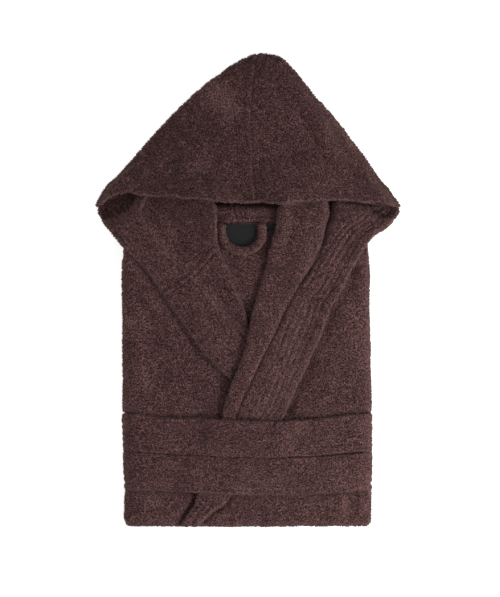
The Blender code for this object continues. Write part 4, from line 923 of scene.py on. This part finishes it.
def draped_tip(surface):
    """A hood panel whose corner at the tip hangs lower and further out, round the hem there."""
    from_end = ways_from_edges(surface)["end"]
    side = np.sign(surface[-1, :, 0].mean())
    out = (side * surface[..., 0]).max() - side * surface[..., 0]
    share = np.exp(-((out / TIP_WAY) ** 2) - (from_end / TIP_WAY_BACK) ** 2)
    return surface + share[..., None] * [side * TIP_OUT, -TIP_HANG, 0]


def wavy_mouth(surface):
    """A hood panel whose free edge wanders a little."""
    edge = np.repeat(surface[-1:], len(surface), axis=0)
    wander = sum(rough(edge, size, share * MOUTH_WAVE, seed) for size, share, seed in MOUTH_WAVES)
    moved = surface.copy()
    moved[..., 1] += wander * fading(ways_from_edges(surface)["end"], MOUTH_WAVE_WAY)
    return moved


def rows_on(name):
    """A piece's rows of stitching, or none."""
    return next((table for kind, table in STITCHED.items() if name.startswith(kind)), ())


def relief_of(name, surface, n, ways):
    """Height of the outer side over plain cloth: lumps, creases, rows of stitching and welts at seams."""
    relief = rough(surface, *LUMPS, len(name)) + rough(surface, *SMALL_LUMPS, 2.0 * len(name))
    if name in TRIM:
        return LUMPS_LABEL * relief + bump(np.min(list(ways.values()), axis=0), *LABEL_STITCH)
    if name == "hanging_loop":
        across = 2 * ways["first"] / ways["first"][:, -1:] - 1
        return LOOP_CROWN * (1 - across**2)
    if name in PRESSES:
        relief += pressed(surface, PRESSES[name])
    if rows_on(name):
        relief = LUMPS_STITCHED * relief + grooves(ways["first"], rows_on(name), surface)
    if "_band_" in name:
        low = name == "front_band_low"
        relief += bump(ways["first"], RIM_AT, RIM_WIDTH, LOW_RISE if low else RIM_RISE)
        relief += bump(ways["last"], 0, BAND_SEAM_WIDTH, -(LOW_SEAM_DEPTH if low else BAND_SEAM_DEPTH))
    if "lapel" in name:
        relief += bump(ways["first"], *LAPEL_SEAM)
        relief += creases(surface, LAPEL_FOLDS)
    if name in FRONTS:
        relief += creases(surface, FRONT_FOLDS)
    if name in HOOD:
        upper = n[..., 2].clip(0, 1)
        hem = 1 / (1 + np.exp((ways["end"] - HEM_WIDTH) / HEM_EASE))
        rows_there = grooves(ways["end"], HOOD_ROWS, surface)
        relief += upper * (creases(surface, HOOD_FOLDS) + rows_there + HEM_RISE * hem)
        relief += upper * (bump(ways["first"], *CROWN_GROOVE) + bump(ways["first"], *CROWN_WELT))
    if name.startswith("hood_neck"):
        relief += bump(ways["last"], *NECK_GROOVE) + bump(ways["last"], WELT_AWAY, WELT_WIDTH, LOW_WELT)
    seam_at_end = name.startswith(("hood_lapel", "hood_band", "hood_neck"))
    seam_at_start = name.startswith(("lapel", "front_band_left", "front_band_right", "back_inside"))
    if seam_at_end or seam_at_start:
        way, welt = (ways["end"], WELT) if seam_at_end else (ways["start"], LOW_WELT)
        relief += bump(way, *END_GROOVE) + bump(way, WELT_AWAY, WELT_WIDTH, welt)
    return relief


def wall(surface, thickness, rims, ring, relief, n, ways):
    """Outer and inner side of a closed wall about a net, meeting in rounded rims."""
    taper = np.ones(surface.shape[:2])
    for edge, radius in zip(("first", "last") if ring else ("first", "last", "start", "end"), rims):
        taper = np.minimum(taper, np.sqrt(1 - (1 - (ways[edge] / radius).clip(0, 1)) ** 2))
    outer = surface + n * (taper * (thickness / 2 + relief.clip(LEAST_WALL - thickness)))[..., None]
    inner = surface - n * (taper * thickness / 2)[..., None]
    for made in (outer, inner):
        made[..., 2] = made[..., 2].clip(0)
    return outer, inner


def grid_faces(index, flip):
    faces = np.stack(corners(index), axis=-1).reshape(-1, 4)
    return faces[:, ::-1] if flip else faces


def add_mesh(name, points, faces, paint):
    mesh = bpy.data.meshes.new(name)
    mesh.vertices.add(len(points))
    mesh.vertices.foreach_set("co", (points * MM).astype(np.float32).ravel())
    mesh.loops.add(faces.size)
    mesh.loops.foreach_set("vertex_index", faces.astype(np.int32).ravel())
    mesh.polygons.add(len(faces))
    mesh.polygons.foreach_set("loop_start", np.arange(len(faces), dtype=np.int32) * faces.shape[1])
    mesh.update(calc_edges=True)
    mesh.validate()
    mesh.shade_smooth()
    mesh.materials.append(paint)
    made = bpy.data.objects.new(name, mesh)
    bpy.context.scene.collection.objects.link(made)
    return made


def closed_mesh(name, outer, inner, ring, flip, paint):
    """One closed mesh of both sides of a wall, which share their points along the rims."""
    if ring:
        outer, inner = outer[:-1], inner[:-1]
    count, columns = outer.shape[:2]
    index = np.arange(count * columns).reshape(count, columns)
    own = np.ones_like(index, dtype=bool)
    own[:, [0, -1]] = False
    if not ring:
        own[[0, -1]] = False
    second = index.copy()
    second[own] = count * columns + np.arange(own.sum())
    if ring:
        index, second = (np.concatenate([grid, grid[:1]]) for grid in (index, second))
    points = np.concatenate([outer.reshape(-1, 3), inner[own]])
    faces = np.concatenate([grid_faces(index, flip), grid_faces(second, not flip)])
    return add_mesh(name, points, faces, paint), points, faces


def folded_stack():
    """The folded layers as one closed form: rings from the middle of the underside to that of the top."""
    points, draw, _ = stack_outline()
    outline = np.concatenate([points, draw[:, None]], axis=1)
    outline = np.concatenate([outline, outline[:1]])[:, None]
    outline = refined(outline, STACK_STEP, ring=True)[:, 0]
    ahead = np.gradient(outline[:, :2], axis=0)
    ahead[0] = ahead[-1] = outline[1, :2] - outline[-2, :2]
    inward = turned_left(unit(ahead))
    centre = outline[:, :2].mean(axis=0)
    heights = np.linspace(0, STACK_HEIGHT, STACK_RINGS)
    inset = curve([p.z for p in STACK_LAYERS], [p.inset for p in STACK_LAYERS], heights)
    rings = []
    for z, back in zip(heights, inset):
        place = np.concatenate([outline[:, :2], np.full((len(outline), 1), z)], axis=-1)[None]
        uneven = rough(place * [1, 1, 4], *STACK_UNEVEN)[0] * min(z / UNEVEN_FROM, 1)
        ring = outline[:, :2] + inward * (outline[:, 2] + back + uneven)[:, None]
        rings.append(np.concatenate([ring, place[0, :, 2:]], axis=-1))

    def shrunk(ring, shares):
        return [ring * [s, s, 1] + [*(centre * (1 - s)), 0] for s in shares]

    form = np.concatenate([shrunk(rings[0], STACK_UNDER), rings, shrunk(rings[-1], STACK_OVER)])
    low, top = min(p.y for p in BELT_LOWER) - BELT_ROOM, BELT_TOP[0].y + BELT_ROOM
    y = form[..., 1]
    inside = ((y - low) / BELT_ROOM_EASE).clip(0, 1) * ((top - y) / BELT_ROOM_EASE).clip(0, 1)
    form[..., 2] = np.maximum(form[..., 2], (TWO_PLY + GAP) * inside)
    form[..., 2] = np.minimum(form[..., 2], STACK_HEIGHT - STACK_BELOW)

    relief = (rough(form, *STACK_LUMPS) + rough(form, *STACK_SMALL_LUMPS)) * (form[..., 2] > 1)
    raw = across_cloth(form)
    out = 1 if (raw * (form - form.reshape(-1, 3).mean(axis=0))).sum() > 0 else -1
    n = out * unit(raw)
    index = np.arange(form.shape[0] * form.shape[1]).reshape(form.shape[:2])
    index[:, -1] = index[:, 0]
    return form + n * relief[..., None], n, grid_faces(index, out < 0)


def shows(tree, place, n, aside):
    """Whether nothing stands in the way of at least one look outwards from a place."""
    start = Vector(place + n * LOOK_FROM)
    out, aside = LOOK_OUT * n, LOOK_ASIDE * aside
    ways = (n, LOOK_RISING * n + LOOK_SKY, out + aside, out - aside)
    return any(tree.ray_cast(start, Vector(way), LOOK_FAR)[0] is None for way in ways)


def pile_on(name, sides, tree, rng, paint, relief=None):
    """The loops of the terry on all of a piece that shows, each a low ridge that lies its own way."""
    made = []
    for surface, n in sides:
        area = cell_areas(surface).ravel()
        count = int(area.sum() * LOOPS_PER_MM2)
        pick = rng.choice(len(area), size=count, p=area / area.sum())
        u, v = rng.random((2, count, 1))
        a, b, c, d = (grid.reshape(-1, 3)[pick] for grid in corners(surface))
        place = (a * (1 - u) + b * u) * (1 - v) + (d * (1 - u) + c * u) * v
        up = unit((n[:-1, :-1] + n[1:, 1:]).reshape(-1, 3)[pick])
        long = unit(np.cross(up, rng.normal(size=(count, 3))))
        clear = ~((place[:, 2] < BARE_BELOW) & (up[:, 2] < BARE_TILT))
        clear[clear] = [shows(tree, p, q, s) for p, q, s in zip(place[clear], up[clear], long[clear])]
        full = np.ones((count, 1))
        if relief is not None and not made:
            full = (1 + LOOP_PRESSED * relief[:-1, :-1].reshape(-1, 1)[pick]).clip(LOOP_LEAST, 1)
        made.append([grid[clear] for grid in (place, up, long, full)])
    place, up, long, full = (np.concatenate(grids) for grids in zip(*made))
    count = len(place)
    size = rng.uniform(*LOOP_SIZES, (3, count, 1)) * full
    foot = place - up * LOOP_SINK
    wide = np.cross(up, long) * size[1] * LOOP_BREADTH / 2
    long = long * size[0] * LOOP_LENGTH / 2
    lean = rng.uniform(-LOOP_LEAN, LOOP_LEAN, (2, count, 1))
    tip = foot + up * (LOOP_SINK + LOOP_HEIGHT * size[2]) + long * lean[0] + wide * lean[1]
    tail = foot - LOOP_TAIL * long
    points = np.stack([foot + long, tail + wide, tail - wide, tip], axis=1).reshape(-1, 3)
    points[:, 2] = points[:, 2].clip(LOOP_LOWEST)
    first = 4 * np.arange(count)[:, None, None]
    faces = (first + np.array([[0, 1, 3], [1, 2, 3], [2, 0, 3]])[None]).reshape(-1, 3)
    return add_mesh(name, points, faces, paint)


def new_paint(name, **values):
    """A material, with these values set on its shader."""
    made = bpy.data.materials.new(name)
    made.use_nodes = True
    set_values(made.node_tree.nodes["Principled BSDF"], values)
    return made, made.node_tree


def set_values(node, values):
    for socket, value in values.items():
        node.inputs[socket.replace("_", " ")].default_value = value


def new_node(tree, kind, **values):
    made = tree.nodes.new(f"ShaderNode{kind}")
    set_values(made, values)
    return made


def new_ramp(tree, *stops):
    """A colour ramp of two stops, each a place and a colour."""
    made = tree.nodes.new("ShaderNodeValToRGB")
    for element, (at, colour) in zip(made.color_ramp.elements, stops):
        element.position, element.color = at, (*colour, 1)
    return made


def join(tree, *links):
    for node, output, other, socket in links:
        tree.links.new(node.outputs[output], other.inputs[socket])


def terry(name):
    """Looped cotton: its brown with a fine speckle of painted shade in the gaps between loops and painted
    light on the loops, with a faint unevenness of the dye.
    """
    made, tree = new_paint(
        name, Roughness=0.95, Specular_IOR_Level=0.15, Sheen_Weight=0.25, Sheen_Roughness=0.6,
        Sheen_Tint=(0.75, 0.52, 0.48, 1))
    shader = tree.nodes["Principled BSDF"]
    where = new_node(tree, "TexCoord")
    speckle = new_node(tree, "TexNoise", Scale=560, Detail=3, Roughness=0.65)
    # painted shade in the gaps and painted light on the loops, driven by the speckle noise
    colours = new_ramp(tree, (0.44, TERRY_BROWN_SHADED), (0.58, TERRY_BROWN_LIT))
    dye = new_node(tree, "TexNoise", Scale=24, Detail=3)
    tones = new_ramp(tree, (0.3, (0.86, 0.86, 0.87)), (0.7, (1.0, 0.985, 0.97)))
    mixed = tree.nodes.new("ShaderNodeMix")
    mixed.data_type, mixed.blend_type = "RGBA", "MULTIPLY"
    mixed.inputs["Factor"].default_value = 1
    loops = new_node(tree, "Bump", Strength=0.55, Distance=0.0009)
    join(
        tree, (where, "Object", speckle, "Vector"), (where, "Object", dye, "Vector"),
        (speckle, "Fac", colours, "Fac"), (dye, "Fac", tones, "Fac"), (colours, "Color", mixed, "A"),
        (tones, "Color", mixed, "B"), (mixed, "Result", shader, "Base Color"),
        (speckle, "Fac", loops, "Height"), (loops, "Normal", shader, "Normal"))
    return made


def woven_label(name):
    """Black satin ribbon with a fine diagonal weave."""
    made, tree = new_paint(name, Roughness=0.62, Specular_IOR_Level=0.2)
    shader = tree.nodes["Principled BSDF"]
    where = new_node(tree, "TexCoord")
    weave = new_node(tree, "TexWave", Scale=420, Distortion=0.8, Detail=1)
    weave.bands_direction = "DIAGONAL"
    colours = new_ramp(tree, (0, LABEL_DARK), (1, LABEL_LIGHT))
    threads = new_node(tree, "Bump", Strength=0.35, Distance=0.0002)
    join(
        tree, (where, "Object", weave, "Vector"), (weave, "Fac", colours, "Fac"),
        (colours, "Color", shader, "Base Color"), (weave, "Fac", threads, "Height"),
        (threads, "Normal", shader, "Normal"))
    return made


def plain_floor():
    paint, _ = new_paint(
        "pale_floor", Base_Color=(0.86, 0.86, 0.86, 1), Emission_Color=(1, 1, 1, 1),
        Emission_Strength=FLOOR_GLOW, Roughness=0.9, Specular_IOR_Level=0.1)
    ways = ((-1, -1), (1, -1), (1, 1), (-1, 1))
    points = np.array([[x * FLOOR_HALF, y * FLOOR_HALF, FLOOR_Z] for x, y in ways], float)
    add_mesh("floor", points, np.array([[0, 1, 2, 3]]), paint)


def set_stage():
    scene = bpy.context.scene
    camera = bpy.data.objects.new("camera", bpy.data.cameras.new("camera"))
    scene.collection.objects.link(camera)
    camera.data.lens, camera.data.sensor_width, camera.data.clip_end = LENS, SENSOR, CLIP_END
    away = FRAME_LONG_SIDE * LENS / SENSOR
    camera.location = Vector(AIM) * MM + Vector((0, 0, away * MM))
    scene.camera = camera
    for lamp in LAMPS:
        light = bpy.data.lights.new(lamp.name, "AREA")
        light.shape = "RECTANGLE"
        light.size, light.size_y, light.energy = lamp.width * MM, lamp.length * MM, lamp.watts
        made = bpy.data.objects.new(lamp.name, light)
        made.location = Vector((lamp.x, lamp.y, lamp.z)) * MM
        made.rotation_euler = (Vector(LAMP_AIM) - made.location).to_track_quat("-Z", "Y").to_euler()
        made.visible_camera = False
        scene.collection.objects.link(made)
    world = bpy.data.worlds.new("studio")
    world.use_nodes = True
    set_values(world.node_tree.nodes["Background"], {"Color": (1, 1, 1, 1), "Strength": SKY})
    scene.world = world
    scene.view_settings.view_transform = "Standard"
    plain_floor()


def smooth_net(name, points, ring):
    """A piece's net with enough points for its rims, rows of stitching and creases."""
    rims, along_step, across_step = FINISHES[name].rims, CLOTH_STEP, CLOTH_STEP
    if name in TRIM or name == "hanging_loop":
        along_step = across_step = TRIM_STEP
    elif name in HOOD:
        across_step = HOOD_STEP
    elif rows_on(name):
        across_step = ROW_STEP
    surface = refined(points, along_step, 0 if ring else max(rims[2:]), ring)
    surface = refined(surface.swapaxes(0, 1), across_step, max(rims[:2])).swapaxes(0, 1)
    if name in HOOD:
        surface = draped_tip(wavy_mouth(surface))
    if name in FRONTS:
        surface[..., 2] += TRENCH * pressed(surface, PRESSES[name]) * (surface[..., 2] > STACK_HEIGHT)
    return surface


def dress():
    terry_paint, label_paint = terry("terry"), woven_label("label")
    laid = lay_out()
    surfaces = {name: smooth_net(name, middle, ring) for name, (middle, _, ring) in laid.items()}
    sew(surfaces)
    sink_crease(surfaces)
    part_turns(surfaces)
    walls, points, faces = {}, [], []

    def in_the_way(own_points, own_faces):
        faces.append(own_faces + sum(len(p) for p in points))
        points.append(own_points)

    for name, (_, thickness, ring) in laid.items():
        surface, paint = surfaces[name], label_paint if name in TRIM else terry_paint
        n = normals(surface, ring)
        if name == "hanging_loop":
            middle = surface.mean(axis=1, keepdims=True)
            surface = middle + (surface - middle) * LOOP_SHARE + n * LOOP_LIFT
        ways = ways_from_edges(surface)
        relief = relief_of(name, surface, n, ways)
        if ring:
            relief[-1] = relief[0]
        outer, inner = wall(surface, thickness, FINISHES[name].rims, ring, relief, n, ways)
        flip = (across_cloth(surface) * n).sum() < 0
        piece, *form = closed_mesh(f"{name}_cloth", outer, inner, ring, flip, paint)
        in_the_way(*form)
        sides = [(outer, true_normals(outer, n, ring)), (inner, true_normals(inner, -n, ring))]
        walls[name] = (piece, sides, relief)

    form, n, stack_faces = folded_stack()
    stack = add_mesh("folded_body_cloth", form.reshape(-1, 3), stack_faces, terry_paint)
    in_the_way(form.reshape(-1, 3), stack_faces)
    tree = BVHTree.FromPolygons(np.concatenate(points).tolist(), np.concatenate(faces).tolist())
    rng = np.random.default_rng(SEED)

    def with_pile(name, sides, relief=None):
        pile = pile_on(f"{name}_pile", sides, tree, rng, terry_paint, relief)
        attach(pile, "root")
        return pile

    for name, (piece, sides, relief) in walls.items():
        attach(piece, "root")
        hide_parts(name)
        on_it = [] if name in TRIM else [with_pile(name, sides, relief)]
        finish, cut = FINISHES[name], laid[name][0]
        ways = ways_from_edges(cut)
    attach(stack, "root")
    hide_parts("folded_body")
    with_pile("folded_body", [(form, n)])


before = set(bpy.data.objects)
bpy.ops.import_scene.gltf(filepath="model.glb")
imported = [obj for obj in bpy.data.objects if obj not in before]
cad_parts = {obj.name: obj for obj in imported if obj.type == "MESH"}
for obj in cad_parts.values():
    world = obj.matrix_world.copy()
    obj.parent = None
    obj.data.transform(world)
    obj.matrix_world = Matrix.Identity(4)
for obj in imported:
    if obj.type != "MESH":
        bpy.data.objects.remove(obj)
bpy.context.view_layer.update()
set_stage()
dress()
bpy.context.view_layer.update()
